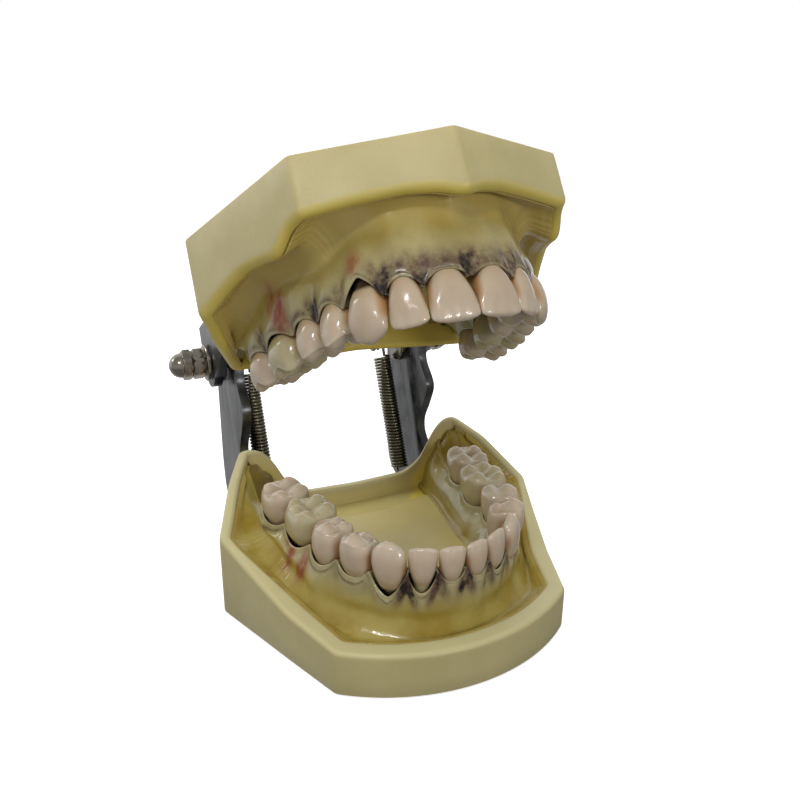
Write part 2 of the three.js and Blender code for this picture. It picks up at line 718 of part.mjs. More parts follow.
/** A closed nut: a short hexagon under a dome, with a blind hole for the bolt's end. */
function acornNut(side) {
  const domeStart = ACORN_NUT.from + ACORN_HEX_HEIGHT;
  const domeHeight = ACORN_NUT.to - domeStart;
  const steps = 4;
  const profile = [new THREE.Vector2(0, -0.5), new THREE.Vector2(ACORN_DOME_RADIUS, -0.5)];
  for (let i = 0; i <= steps; i++) {
    const angle = (Math.PI / 2) * (i / steps);
    profile.push(new THREE.Vector2(ACORN_DOME_RADIUS * Math.cos(angle), domeHeight * Math.sin(angle)));
  }
  const dome = new THREE.LatheGeometry(profile, 12);
  dome.rotateZ(-side.sign * Math.PI / 2);
  dome.translate(side.sign * domeStart, HINGE_Y, HINGE_Z);
  return cut(
    join(hexagon(side, ACORN_NUT.from, domeStart), dome),
    bar(side, ACORN_NUT.from - 1, BOLT_END_X + GAP, BORE_RADIUS, HINGE_Y, HINGE_Z),
  );
}

/** The lower spring stud: a rivet through the foot of the post. */
function lowerStud(side) {
  const { y, z, headRadius, headThickness } = LOWER_STUD;
  const headStart = POST_INNER_X + SHEET + GAP;
  return join(
    bar(side, STUD_END_X, headStart + headThickness / 2, STUD_RADIUS, y, z),
    bar(side, headStart, headStart + headThickness, headRadius, y, z, 16),
  );
}

/** A hook of bent wire about the origin in Y and Z, reaching up to the coils. */
function hookPiece() {
  const points = [new THREE.Vector3(0, 0, HOOK_LENGTH + 0.8), new THREE.Vector3(0, 1.2, HOOK_LENGTH - 0.7)];
  for (let degrees = 20; degrees >= -220; degrees -= 40) {
    const angle = degToRad(degrees);
    points.push(new THREE.Vector3(0, HOOK_RADIUS * Math.cos(angle), HOOK_RADIUS * Math.sin(angle)));
  }
  const wire = new THREE.Shape();
  const sides = 6;
  for (let i = 0; i < sides; i++) {
    const angle = (2 * Math.PI * i) / sides;
    const draw = i === 0 ? 'moveTo' : 'lineTo';
    wire[draw](WIRE_RADIUS * Math.cos(angle), WIRE_RADIUS * Math.sin(angle));
  }
  const path = new THREE.CatmullRomCurve3(points);
  return new THREE.ExtrudeGeometry(wire, { steps: 14, extrudePath: path, bevelEnabled: false });
}

/** The spring's outer shape: its close coils as one bar, with a hook at each end. */
function springPiece(side) {
  const bottom = new THREE.Vector3(side.sign * SPRING_X, LOWER_STUD.y, LOWER_STUD.z);
  const top = new THREE.Vector3(side.sign * SPRING_X, UPPER_STUD.y, UPPER_STUD.z);
  const length = bottom.distanceTo(top);
  const coils = new THREE.CylinderGeometry(SPRING_RADIUS, SPRING_RADIUS, length - 2 * HOOK_LENGTH, 14);
  coils.rotateX(Math.PI / 2).translate(0, 0, length / 2);
  const lowerHook = hookPiece();
  const upperHook = hookPiece().rotateX(Math.PI).translate(0, 0, length);
  const spring = join(coils, lowerHook, upperHook);
  const lean = Math.atan2(top.y - bottom.y, top.z - bottom.z);
  return spring.rotateX(-lean).translate(bottom.x, bottom.y, bottom.z);
}

function buildLowerHardware(group) {
  const frontY = LOWER_BACK_Y + GAP;
  addPiece(group, 'lower_bracket', lowerBracket(frontY), 'steel');
  for (const side of SIDES) {
    addPiece(group, `lower_spring_stud_${side.name}`, lowerStud(side), 'steel');
    addPiece(group, `spring_${side.name}`, springPiece(side), 'spring');
    const screw = screwPiece(side.sign * BRACKET_SCREW_X, frontY + SHEET, LOWER_SCREW_Z);
    addPiece(group, `lower_bracket_screw_${side.name}`, screw, 'steel');
  }
}

/** The bolts stand as they do with the jaws open, so this group isn't swung. */
function buildHinge(group) {
  for (const side of SIDES) {
    addPiece(group, `hinge_bolt_${side.name}`, hingeBolt(side), 'steel');
    addPiece(group, `friction_washer_${side.name}`, washer(side, FRICTION_WASHER), 'steel');
    addPiece(group, `outer_washer_${side.name}`, washer(side, OUTER_WASHER), 'steel');
    addPiece(group, `lock_nut_${side.name}`, lockNut(side), 'steel');
    addPiece(group, `acorn_nut_${side.name}`, acornNut(side), 'steel');
  }
}

function buildUpperHardware(group) {
  const frontY = UPPER_BACK_Y + GAP;
  addPiece(group, 'upper_bracket', upperBracket(frontY), 'steel');
  for (const side of SIDES) {
    const screw = screwPiece(side.sign * BRACKET_SCREW_X, frontY + SHEET, UPPER_SCREW_Z);
    addPiece(group, `upper_bracket_screw_${side.name}`, screw, 'steel');
  }
}

// ---------------------------------------------------------------- assembly

const model = new THREE.Group();
model.position.y = -BASE_CENTRE_Y;

buildLowerJaw(model);
buildLowerHardware(model);
buildHinge(model);

const swing = new THREE.Group();
swing.position.set(0, HINGE_Y, HINGE_Z);
swing.rotation.x = -OPEN_ANGLE;
const upperJaw = new THREE.Group();
upperJaw.position.set(0, -HINGE_Y, -HINGE_Z);
swing.add(upperJaw);
model.add(swing);
buildUpperJaw(upperJaw);
buildUpperHardware(upperJaw);

const typodont = new THREE.Group();
typodont.add(model);

export default typodont;
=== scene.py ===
"""Looks for the typodont: jaws, gums, teeth, hinge hardware, materials, light and camera.

Shapes are worked out in millimetres in the jaws' own coordinates, with the upper jaw closed:
Y is counted back from just in front of the lower incisors. to_frame() turns them into metres
in the row frame, where the upper jaw stands open as it is stored.
"""

import json
import math

import bmesh
import bpy
import numpy as np
from mathutils import Matrix, Vector

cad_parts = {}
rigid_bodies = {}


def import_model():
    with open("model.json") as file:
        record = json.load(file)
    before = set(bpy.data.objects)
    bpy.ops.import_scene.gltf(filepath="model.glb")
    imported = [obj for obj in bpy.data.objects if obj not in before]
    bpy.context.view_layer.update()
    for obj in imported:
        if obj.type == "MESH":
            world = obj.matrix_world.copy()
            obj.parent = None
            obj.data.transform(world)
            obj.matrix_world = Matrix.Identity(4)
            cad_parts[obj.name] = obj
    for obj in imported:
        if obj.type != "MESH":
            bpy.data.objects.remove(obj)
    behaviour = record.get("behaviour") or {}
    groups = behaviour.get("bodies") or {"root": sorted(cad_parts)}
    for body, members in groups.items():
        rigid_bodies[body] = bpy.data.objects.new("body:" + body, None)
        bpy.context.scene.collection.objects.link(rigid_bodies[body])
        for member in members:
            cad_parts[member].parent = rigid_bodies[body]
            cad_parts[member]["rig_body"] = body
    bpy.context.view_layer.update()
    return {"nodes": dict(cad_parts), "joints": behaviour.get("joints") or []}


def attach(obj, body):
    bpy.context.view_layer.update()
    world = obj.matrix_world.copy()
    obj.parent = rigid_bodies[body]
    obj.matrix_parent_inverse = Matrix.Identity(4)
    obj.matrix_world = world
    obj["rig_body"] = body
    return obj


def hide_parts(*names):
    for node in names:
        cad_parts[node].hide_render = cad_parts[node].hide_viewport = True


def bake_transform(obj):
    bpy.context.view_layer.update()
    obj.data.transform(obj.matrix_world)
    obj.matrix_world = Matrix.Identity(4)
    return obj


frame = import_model()

# ---------------------------------------------------------------- driving dimensions

MM = 0.001
BASE_CENTRE_Y = 24.5
OPEN_ANGLE = math.radians(31.1)
HINGE = np.array(frame["joints"][0]["pos_m"]) / MM + (0, BASE_CENTRE_Y, 0)
HINGE_CENTRE = HINGE_Y, HINGE_Z = HINGE[1], HINGE[2]
BASE_MIDDLE = np.array((0.0, 30.0))  # rims and floors are drawn towards this point
SIDES = {"right": -1, "left": 1}

TEETH = (
    "central_incisor", "lateral_incisor", "canine",
    "first_premolar", "second_premolar", "first_molar", "second_molar",
)
FRONT_TEETH = 3  # incisors and canine
CONTACT_GAP = 0.1
TOOTH_SIDES = 56

# Cusps of the back teeth: (mesial, outward) as shares of half the tooth's width and depth, and
# the tip's height over the tooth's edge plane.
CUSPS = {
    "lower": {
        "first_premolar": ((0.02, 0.3, 0.8), (-0.05, -0.58, -0.5)),
        "second_premolar": ((0.05, 0.36, 0.6), (0.35, -0.5, 0.0), (-0.4, -0.5, -0.15)),
        "first_molar": (
            (0.52, 0.5, 0.4), (-0.12, 0.56, 0.3), (-0.7, 0.3, 0.05),
            (0.46, -0.5, 0.75), (-0.36, -0.54, 0.6),
        ),
        "second_molar": ((0.46, 0.46, 0.4), (-0.46, 0.46, 0.25), (0.44, -0.5, 0.65), (-0.46, -0.5, 0.5)),
    },
    "upper": {
        "first_premolar": ((0.02, 0.5, 1.1), (0.1, -0.5, 0.3)),
        "second_premolar": ((0.02, 0.5, 1.0), (0.08, -0.5, 0.4)),
        "first_molar": ((0.5, 0.52, 1.1), (-0.42, 0.52, 1.0), (0.36, -0.46, 0.5), (-0.52, -0.5, 0.1)),
        "second_molar": ((0.46, 0.52, 1.0), (-0.44, 0.5, 0.8), (0.3, -0.46, 0.4), (-0.5, -0.46, -0.3)),
    },
}


def lerp(start, end, share):
    return start + (end - start) * share


def smoothstep(low, high, value):
    share = np.clip((value - low) / (high - low), 0, 1)
    return share * share * (3 - 2 * share)


def along_arch(front_y, front_value, back_y, back_value):
    """A value that changes evenly from the front of an arch to its back."""
    return lambda y: np.interp(y, (front_y, back_y), (front_value, back_value))


def hermite(t, start, end, leave, arrive):
    """A cubic from start to end, by the slopes that it leaves and arrives with."""
    return (
        (1 + 2 * t) * (1 - t) ** 2 * start + t * (1 - t) ** 2 * leave
        + t * t * (3 - 2 * t) * end + t * t * (t - 1) * arrive
    )


def spline(before, start, end, after, t):
    """A place between start and end, on a smooth curve through four points."""
    return 0.5 * (
        2 * start + (end - before) * t + (2 * before - 5 * start + 4 * end - after) * t ** 2
        + (3 * start - before - 3 * end + after) * t ** 3
    )


def smooth_curve(knots, values, at):
    """A smooth curve through (knot, value) pairs, read at other places."""
    knots, values, at = (np.array(a, float) for a in (knots, values, at))
    slope = np.gradient(values, knots)
    i = np.clip(np.searchsorted(knots, at, side="right") - 1, 0, len(knots) - 2)
    step = knots[i + 1] - knots[i]
    t = np.clip((at - knots[i]) / step, 0, 1)
    return hermite(t, values[i], values[i + 1], step * slope[i], step * slope[i + 1])


def round_angles(count):
    """Evenly spaced angles of one turn."""
    return np.linspace(0, 2 * math.pi, count, endpoint=False)


def walked(points):
    """How far along a line each of its points is."""
    return np.concatenate([[0], np.cumsum(np.linalg.norm(np.diff(points, axis=0), axis=1))])


def cross(a, b):
    """The cross product of flat vectors."""
    return a[..., 0] * b[..., 1] - a[..., 1] * b[..., 0]


class Arch:
    """The line through the middle of the crowns from above, by distance from the midline."""

    OVERRUN = 10.0  # straight stretch past the last knots

    def __init__(self, half):
        left = np.array(half, float)
        knots = np.vstack([left[:0:-1] * (-1, 1), left])
        knots = np.vstack([2 * knots[0] - knots[1], knots, 2 * knots[-1] - knots[-2]])
        gap = np.sqrt(np.linalg.norm(np.diff(knots, axis=0), axis=1))
        t = np.linspace(0, 1, 40, endpoint=False)[:, None]
        line = []
        for i in range(1, len(knots) - 2):
            before, start, end, after = knots[i - 1:i + 3]
            a, b, c = gap[i - 1:i + 2]
            leave = b * ((start - before) / a - (end - before) / (a + b) + (end - start) / b)
            arrive = b * ((end - start) / b - (after - start) / (b + c) + (after - end) / c)
            line.append(hermite(t, start, end, leave, arrive))
        line = np.vstack([*line, knots[-2]])
        first, last = line[0] - line[1], line[-1] - line[-2]
        first *= self.OVERRUN / np.linalg.norm(first)
        last *= self.OVERRUN / np.linalg.norm(last)
        self.line = np.vstack([line[0] + first, line, line[-1] + last])
        distance = walked(self.line)
        self.distance = distance - distance[-1] / 2
        self.half_length = distance[-1] / 2 - self.OVERRUN

    def place(self, distance):
        """Points of the arch, and the directions along it and out of it."""
        def read(d):
            return np.stack([np.interp(d, self.distance, self.line[:, k]) for k in (0, 1)], axis=-1)

        distance = np.asarray(distance, float)
        along = read(distance + 0.3) - read(distance - 0.3)
        along /= np.linalg.norm(along, axis=-1, keepdims=True)
        return read(distance), along, np.stack([along[..., 1], -along[..., 0]], axis=-1)


class Jaw:
    """One jaw's arch and teeth. up is the direction from a root to its biting edge.

    widths, depths, edges (their heights) and crowns (their lengths) run from the central
    incisor back. edge is the height at which the teeth's middles are on the arch.
    """

    def __init__(self, name, up, arch, edge, lean, widths, depths, edges, crowns):
        self.name = name
        self.up = up
        self.arch = Arch(arch)
        self.edge = edge
        self.lean = lean
        self.depths = depths
        self.widths = widths
        self.edges = edges
        self.crowns = crowns
        self.necks = np.array(edges) - up * np.array(crowns)
        self.borders = np.concatenate([[0], np.cumsum(widths)])
        self.centres = (self.borders[:-1] + self.borders[1:]) / 2

    def spine(self, point, out, height):
        """The middle of the roots at a height: they slope inwards away from the edges."""
        inwards = self.lean(point[..., 1]) * np.abs(self.edge - height)
        return point - out * inwards[..., None]


LOWER = Jaw(
    "lower", 1,
    [(0, 1.5), (8.1, 3.7), (13.6, 7.5), (17.4, 13.5), (20, 20.8), (21.3, 30), (23.5, 41), (24.8, 51)],
    edge=27.4,
    lean=along_arch(7, 0.22, 20, 0),
    widths=(5.4, 5.9, 7.1, 7.5, 7.8, 11.3, 10.8),
    depths=(6.0, 6.2, 7.4, 7.6, 8.2, 10.2, 9.8),
    edges=(27.4, 27.4, 28.1, 27.1, 27.0, 27.0, 27.0),
    crowns=(7.2, 7.9, 9.7, 7.9, 7.7, 7.4, 7.2),
)
UPPER = Jaw(
    "upper", -1,
    [(0, -2.6), (8.9, -1.2), (14.2, 2), (17.6, 7), (19.8, 14.6), (21.9, 22), (23.8, 31.5), (26, 47)],
    edge=25.6,
    lean=along_arch(4, 0.25, 25, 0.05),
    widths=(8.9, 6.8, 8.0, 7.6, 7.5, 10.8, 10.2),
    depths=(7.0, 6.2, 8.0, 9.0, 9.2, 11.0, 10.8),
    edges=(25.4, 25.9, 25.2, 27.8, 27.8, 27.8, 27.8),
    crowns=(9.2, 8.9, 9.5, 6.9, 6.7, 6.6, 6.5),
)


# ---------------------------------------------------------------- meshes

def opened(points):
    """Places in the closed upper jaw, as the open jaw has them."""
    away = np.asarray(points, float) - HINGE
    cos, sin = math.cos(OPEN_ANGLE), math.sin(OPEN_ANGLE)
    y = away[..., 1] * cos + away[..., 2] * sin
    z = -away[..., 1] * sin + away[..., 2] * cos
    return np.stack([away[..., 0], y, z], axis=-1) + HINGE


def to_frame(points, swung):
    """Jaw coordinates as metres in the row frame."""
    points = opened(points) if swung else np.asarray(points, float)
    return (points - (0, BASE_CENTRE_Y, 0)) * MM


def make_object(name, points, faces, swung=False, sharp_angle=None):
    """A shaded mesh object from jaw coordinates, its faces turned outwards."""
    mesh = bpy.data.meshes.new(name)
    mesh.from_pydata(to_frame(points, swung).tolist(), [], faces)
    work = bmesh.new()
    work.from_mesh(mesh)
    bmesh.ops.recalc_face_normals(work, faces=work.faces)
    if work.calc_volume(signed=True) < 0:
        bmesh.ops.reverse_faces(work, faces=work.faces)
    work.to_mesh(mesh)
    work.free()
    piece = bpy.data.objects.new(name, mesh)
    bpy.context.scene.collection.objects.link(piece)
    shade(piece, sharp_angle)
    return piece


def shade(piece, sharp_angle):
    """Smooth shading, with edges kept sharp from an angle in degrees upwards."""
    piece.data.shade_smooth()
    if sharp_angle is not None:
        piece.data.set_sharp_from_angle(angle=math.radians(sharp_angle))


def lofted(rings):
    """Points and faces of a closed skin through rings, each end a fan to its middle."""
    rows, count = rings.shape[:2]
    middles = np.stack([rings[0].mean(axis=0), rings[-1].mean(axis=0)])
    points = np.vstack([rings.reshape(-1, 3), middles])
    faces = []
    for r in range(rows - 1):
        for i in range(count):
            a, b = r * count + i, r * count + (i + 1) % count
            faces.append((a, b, b + count, a + count))
    start, last = rows * count, (rows - 1) * count
    for i in range(count):
        j = (i + 1) % count
        faces.append((start, j, i))
        faces.append((start + 1, last + i, last + j))
    return points, faces


def skinned(name, rings, swung=False, sharp_angle=None):
    """A closed solid through rings of points."""
    return make_object(name, *lofted(np.array(rings)), swung, sharp_angle)


def ring_about(axis, centre, radius, count):
    """A ring of points round a centre, square to the X, Y or Z axis (0, 1 or 2)."""
    angle = round_angles(count)
    radii = radius(angle) if callable(radius) else radius
    first, second = [k for k in range(3) if k != axis]
    points = np.tile(np.array(centre, float), (count, 1))
    points[:, first] += radii * np.cos(angle)
    points[:, second] += radii * np.sin(angle)
    return points


def paint(piece, name, values):
    """Stores a colour for each point of a mesh. The material reads its channels as masks."""
    padded = np.ones((len(piece.data.vertices), 4))
    padded[:, :3] = 0
    padded[:len(values), :values.shape[1]] = values
    layer = piece.data.color_attributes.new(name, "FLOAT_COLOR", "POINT")
    layer.data.foreach_set("color", padded.ravel())


def stand_for(piece, node, material):
    """The piece takes a CAD node's place: its body and its own material."""
    piece.data.materials.clear()
    piece.data.materials.append(material)
    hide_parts(node)
    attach(piece, frame["nodes"][node]["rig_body"])


def applied(piece):
    """Turns a piece's modifiers into its mesh."""
    ready = bpy.context.evaluated_depsgraph_get()
    mesh = bpy.data.meshes.new_from_object(piece.evaluated_get(ready))
    piece.modifiers.clear()
    piece.data = mesh


def combined(piece, others, operation):
    """Joins other solids to a piece, or cuts them from it."""
    for other in others:
        modifier = piece.modifiers.new(operation.lower(), "BOOLEAN")
        modifier.operation = operation
        modifier.solver = "MANIFOLD"
        modifier.object = other
    applied(piece)
    for other in others:
        bpy.data.objects.remove(other)


def rounded(piece, width, sharp_angle):
    """Rounds a piece's sharp edges."""
    modifier = piece.modifiers.new("bevel", "BEVEL")
    modifier.width = width * MM
    modifier.segments = 3
    modifier.limit_method = "ANGLE"
    modifier.angle_limit = math.radians(sharp_angle)
    applied(piece)
    shade(piece, sharp_angle)


# ---------------------------------------------------------------- material nodes

def srgb(red, green, blue):
    """An 8-bit display colour as a linear one."""
    parts = [value / 255 for value in (red, green, blue)]
    return (*(p / 12.92 if p <= 0.04 else ((p + 0.055) / 1.055) ** 2.4 for p in parts), 1.0)


def map_range(tree, source, from_range, to_range, interpolation="LINEAR"):
    """A value moved from one range to another."""
    node = tree.nodes.new("ShaderNodeMapRange")
    node.interpolation_type = interpolation
    sockets = ("From Min", "From Max", "To Min", "To Max")
    for socket, value in zip(sockets, (*from_range, *to_range)):
        node.inputs[socket].default_value = value
    tree.links.new(source, node.inputs["Value"])
    return node.outputs["Result"]


class Surface:
    """A material with a node tree built up a node at a time."""

    def __init__(self, name, **sockets):
        self.material = bpy.data.materials.new(name)
        self.material.use_nodes = True
        self.tree = self.material.node_tree
        self.shader = self.tree.nodes["Principled BSDF"]
        for socket, value in sockets.items():
            self.shader.inputs[socket.replace("_", " ")].default_value = value
        self.place = self.tree.nodes.new("ShaderNodeTexCoord").outputs["Object"]

    def link(self, source, target):
        self.tree.links.new(source, target)

    def noise(self, scale, detail, roughness=0.55, stretch=(1, 1, 1)):
        """Noise fixed to the piece. Where stretch is below 1 it runs long in that direction."""
        mapping = self.tree.nodes.new("ShaderNodeMapping")
        mapping.inputs["Scale"].default_value = stretch
        self.link(self.place, mapping.inputs["Vector"])
        node = self.tree.nodes.new("ShaderNodeTexNoise")
        node.inputs["Scale"].default_value = scale
        node.inputs["Detail"].default_value = detail
        node.inputs["Roughness"].default_value = roughness
        self.link(mapping.outputs["Vector"], node.inputs["Vector"])
        return node.outputs["Fac"]

    def mask(self, name):
        """The red, green and blue channels of the points' painted masks."""
        node = self.tree.nodes.new("ShaderNodeAttribute")
        node.attribute_name = name
        split = self.tree.nodes.new("ShaderNodeSeparateColor")
        self.link(node.outputs["Color"], split.inputs["Color"])
        return split.outputs["Red"], split.outputs["Green"], split.outputs["Blue"]

    def steps(self, source, low, high, to_low=0.0, to_high=1.0):
        """A soft rise between two levels of another node's output."""
        return map_range(self.tree, source, (low, high), (to_low, to_high), "SMOOTHSTEP")

    def math(self, operation, first, second):
        node = self.tree.nodes.new("ShaderNodeMath")
        node.operation = operation
        for socket, value in zip(node.inputs, (first, second)):
            if isinstance(value, (int, float)):
                socket.default_value = value
            else:
                self.link(value, socket)
        return node.outputs["Value"]

    def mix(self, share, first, second):
        """A colour between two others; each is a colour or another node's output."""
        node = self.tree.nodes.new("ShaderNodeMix")
        node.data_type = "RGBA"
        for socket, value in ((node.inputs[6], first), (node.inputs[7], second)):
            if isinstance(value, tuple):
                socket.default_value = value
            else:
                self.link(value, socket)
        self.link(share, node.inputs[0])
        return node.outputs[2]

    def colour(self, source):
        self.link(source, self.shader.inputs["Base Color"])

    def roughness(self, source):
        self.link(source, self.shader.inputs["Roughness"])

    def bump(self, height, strength, distance):
        node = self.tree.nodes.new("ShaderNodeBump")
        node.inputs["Strength"].default_value = strength
        node.inputs["Distance"].default_value = distance * MM
        self.link(height, node.inputs["Height"])
        self.link(node.outputs["Normal"], self.shader.inputs["Normal"])


def ivory_resin():
    """Cast resin: satin, a little uneven, olive where the resin is shallow. The lower rim's upward faces
    carry a painted highlight, and the upper rim's olive band is painted brighter, as if lit through.
    """
    surface = Surface(
        "ivory_resin", Subsurface_Weight=0.12, Subsurface_Scale=0.003, Specular_IOR_Level=0.45,
    )
    thin_and_glow, bright, _ = surface.mask("marks")
    cloud = surface.noise(70, 4)
    body = surface.mix(surface.steps(cloud, 0.35, 0.68), srgb(174, 163, 115), srgb(182, 171, 123))
    speck = surface.steps(surface.noise(1500, 2), 0.62, 0.74, 0.0, 0.35)
    body = surface.mix(speck, body, srgb(161, 150, 99))
    # Painted highlight: lighter where the lower rim's top faces up.
    body = surface.mix(bright, body, srgb(188, 180, 135))
    # Olive where the resin is shallow, and a painted glow: this colour is brighter than the resin so the
    # upper rim's band looks lit through.
    body = surface.mix(thin_and_glow, body, srgb(214, 194, 92))
    surface.colour(body)
    surface.roughness(surface.steps(surface.noise(240, 4), 0.3, 0.75, 0.34, 0.5))
    surface.bump(surface.noise(900, 5, 0.6), 0.16, 0.12)
    return surface.material


def gum_resin():
    """Glossy see-through resin: amber where it is deep, hazy by the necks, stained and inflamed, with
    painted glow by the rim and painted shade in the pockets.
    """
    surface = Surface(
        "gum_resin", Subsurface_Weight=0.2, Subsurface_Scale=0.0018, Coat_Weight=0.3,
        Coat_Roughness=0.06, Specular_IOR_Level=0.35,
    )
    stain, red, depth = surface.mask("marks")
    pocket, lip, glow = surface.mask("edges")
    cloud = surface.noise(160, 5, 0.6)
    hazy = surface.mix(surface.steps(cloud, 0.35, 0.7), srgb(152, 144, 104), srgb(172, 163, 122))
    drift = surface.steps(surface.noise(95, 4), 0.35, 0.66)
    amber = surface.mix(drift, srgb(143, 121, 44), srgb(162, 146, 78))
    body = surface.mix(depth, hazy, amber)
    # Painted glow: a lighter amber by the rim, as if light shone through the resin there.
    body = surface.mix(glow, body, srgb(198, 175, 100))
    veins = surface.steps(surface.noise(420, 5, 0.7, (1, 1, 0.35)), 0.42, 0.62)
    flush = surface.math("MULTIPLY", red, surface.math("ADD", 0.6, surface.math("MULTIPLY", veins, 0.6)))
    body = surface.mix(flush, body, srgb(128, 60, 44))
    smoke = surface.steps(surface.noise(420, 5, 0.75, (1, 1, 0.6)), 0.36, 0.58, 0.5, 1.0)
    body = surface.mix(surface.math("MULTIPLY", stain, smoke), body, srgb(88, 65, 50))
    core = surface.steps(surface.math("MULTIPLY", stain, surface.noise(330, 4, 0.6)), 0.42, 0.62)
    body = surface.mix(core, body, srgb(30, 19, 14))
    # Pale along the gum's rolled edge: partly the shallow resin's own paleness, partly a painted
    # highlight on the lip.
    body = surface.mix(surface.math("MULTIPLY", lip, 0.45), body, srgb(182, 172, 130))
    # Painted shade: near-black in the pockets between the gum's edge and the roots.
    body = surface.mix(pocket, body, srgb(26, 17, 14))
    surface.colour(body)
    surface.roughness(surface.steps(surface.noise(300, 4), 0.3, 0.8, 0.13, 0.3))
    surface.bump(surface.noise(380, 4, 0.55), 0.2, 0.25)
    return surface.material


def enamel(name, cervical, body_colour, edge_colour):
    """Glossy tooth resin: warmer at the neck, clearer at the edge, amber where teeth touch."""
    surface = Surface(
        name, Subsurface_Weight=0.25, Subsurface_Scale=0.0016, Coat_Weight=0.5, Coat_Roughness=0.08,
        Specular_IOR_Level=0.5,
    )
    root, contact, height = surface.mask("marks")
    groove, dark_root, _ = surface.mask("edges")
    body = surface.mix(surface.steps(height, 0.0, 0.45), edge_colour, body_colour)
    body = surface.mix(surface.steps(height, 0.6, 1.05), body, cervical)
    cloud = surface.steps(surface.noise(260, 4), 0.4, 0.75, 0.0, 0.3)
    body = surface.mix(cloud, body, cervical)
    body = surface.mix(surface.math("MULTIPLY", contact, 0.75), body, srgb(154, 108, 48))
    # Painted shade: darker down in the grooves of the biting surfaces.
    body = surface.mix(surface.math("MULTIPLY", groove, 0.5), body, srgb(150, 118, 82))
    # Painted shade: roots bared by deep recession turn near-black, the shadow inside the pocket; others
    # keep their ivory.
    root_or_shade = surface.mix(dark_root, srgb(176, 164, 120), srgb(40, 26, 22))
    body = surface.mix(root, body, root_or_shade)
    surface.colour(body)
    surface.roughness(surface.steps(surface.noise(700, 3), 0.3, 0.8, 0.16, 0.27))
    surface.bump(surface.noise(900, 3), 0.08, 0.08)
    return surface.material


def steel(name, dark, light, rough_low, rough_high, stretch=(1, 1, 1)):
    """Bare or plated steel with rolling marks, small scratches and handled patches."""
    surface = Surface(name, Metallic=1.0, Specular_IOR_Level=0.5)
    patches = surface.noise(180, 4)
    lines = surface.noise(900, 4, 0.6, stretch)
    surface.colour(surface.mix(surface.steps(patches, 0.3, 0.7), dark, light))
    handled = surface.math("MULTIPLY", patches, 0.5)
    worn = surface.math("ADD", handled, surface.math("MULTIPLY", lines, 0.5))
    surface.roughness(surface.steps(worn, 0.35, 0.65, rough_low, rough_high))
    surface.bump(lines, 0.12, 0.05)
    return surface.material


MATERIALS = {
    "ivory": ivory_resin(),
    "gum": gum_resin(),
    "enamel": enamel("pink_enamel", srgb(166, 144, 115), srgb(181, 163, 140), srgb(190, 175, 153)),
    "cream": enamel("cream_enamel", srgb(150, 136, 96), srgb(170, 158, 122), srgb(180, 170, 138)),
    "sheet": steel("bracket_steel", srgb(78, 79, 80), srgb(110, 111, 112), 0.24, 0.38, (1, 1, 0.06)),
    "bright": steel("bright_steel", srgb(138, 132, 120), srgb(178, 171, 158), 0.14, 0.26, (0.1, 1, 1)),
    "wire": steel("spring_wire", srgb(118, 114, 98), srgb(150, 146, 128), 0.2, 0.34),
}


# ---------------------------------------------------------------- teeth

def squared(angle, power):
    """Cosine and sine of an angle, folded outwards so that a circle gets squarer."""
    cos, sin = np.cos(angle), np.sin(angle)
    return np.sign(cos) * np.abs(cos) ** power, np.sign(sin) * np.abs(sin) ** power


def tooth_marks(root, contact, height):
    """One ring's masks: the root, the sides that touch other teeth, and the place down the crown."""
    level = np.ones(TOOTH_SIDES)
    return np.stack([root * level, contact * level, height * level], axis=-1)


def front_tooth(name, half_width, half_depth, crown):
    """Rings of an incisor or canine as (mesial, outward, depth below the edge) and masks."""
    canine = name == "canine"
    shares = (
        0.0, 0.006, 0.02, 0.05, 0.09, 0.15, 0.22, 0.3, 0.39, 0.48, 0.57, 0.66, 0.75, 0.83, 0.9, 0.96,
        1.0, 1.05, 1.15, 1.3, 1.5, 1.75,
    )
    knots = (0, 0.06, 0.15, 0.3, 0.5, 0.7, 0.85, 1, 1.12, 1.4, 1.8)
    if canine:
        width = (0.8, 0.9, 0.96, 1.0, 0.99, 0.92, 0.84, 0.74, 0.66, 0.55, 0.4)
        labial = (0.2, 0.36, 0.54, 0.74, 0.9, 0.98, 0.98, 0.88, 0.78, 0.66, 0.48)
    else:
        width = (0.93, 0.985, 1.0, 0.99, 0.94, 0.85, 0.76, 0.66, 0.6, 0.52, 0.4)
        labial = (0.17, 0.3, 0.42, 0.6, 0.78, 0.9, 0.94, 0.84, 0.74, 0.62, 0.48)
    lingual = (-0.02, -0.1, -0.14, -0.22, -0.36, -0.62, -0.86, -0.86, -0.76, -0.64, -0.5)
    drop = 1.7 if canine else 0.5
    lobes = 0.0 if canine else 0.1
    cos, sin = squared(round_angles(TOOTH_SIDES), 0.86)
    rings, marks = [], []
    for share, cap in zip(shares, [0.06, 0.55, 0.9] + [1.0] * (len(shares) - 3)):
        wide = smooth_curve(knots, width, share) * half_width * (cap if share < 0.03 else 1)
        front = smooth_curve(knots, labial, share) * half_depth
        back = smooth_curve(knots, lingual, share) * half_depth
        middle, deep = (front + back) / 2, (front - back) / 2 * cap
        mesial = cos * wide
        across = mesial / half_width
        fade = max(0.0, 1 - share) ** 2.5
        # The edge falls away towards both corners, and more on the far side.
        corner = drop * np.abs(across) ** (1.8 if canine else 4) * (1 + 0.25 * (across < 0)) * fade
        outward = middle + sin * deep
        outward += lobes * np.cos(across * 3.1 * math.pi) * np.clip(sin, 0, 1) * fade
        rings.append(np.stack([mesial, outward, share * crown + corner], axis=-1))
        root = float(smoothstep(0.985, 1.02, share))
        contact = smoothstep(0.8, 0.99, np.abs(cos)) * smoothstep(0.15, 0.5, share)
        marks.append(tooth_marks(root, contact, share))
    return np.array(rings), np.array(marks), np.zeros((len(rings), TOOTH_SIDES))


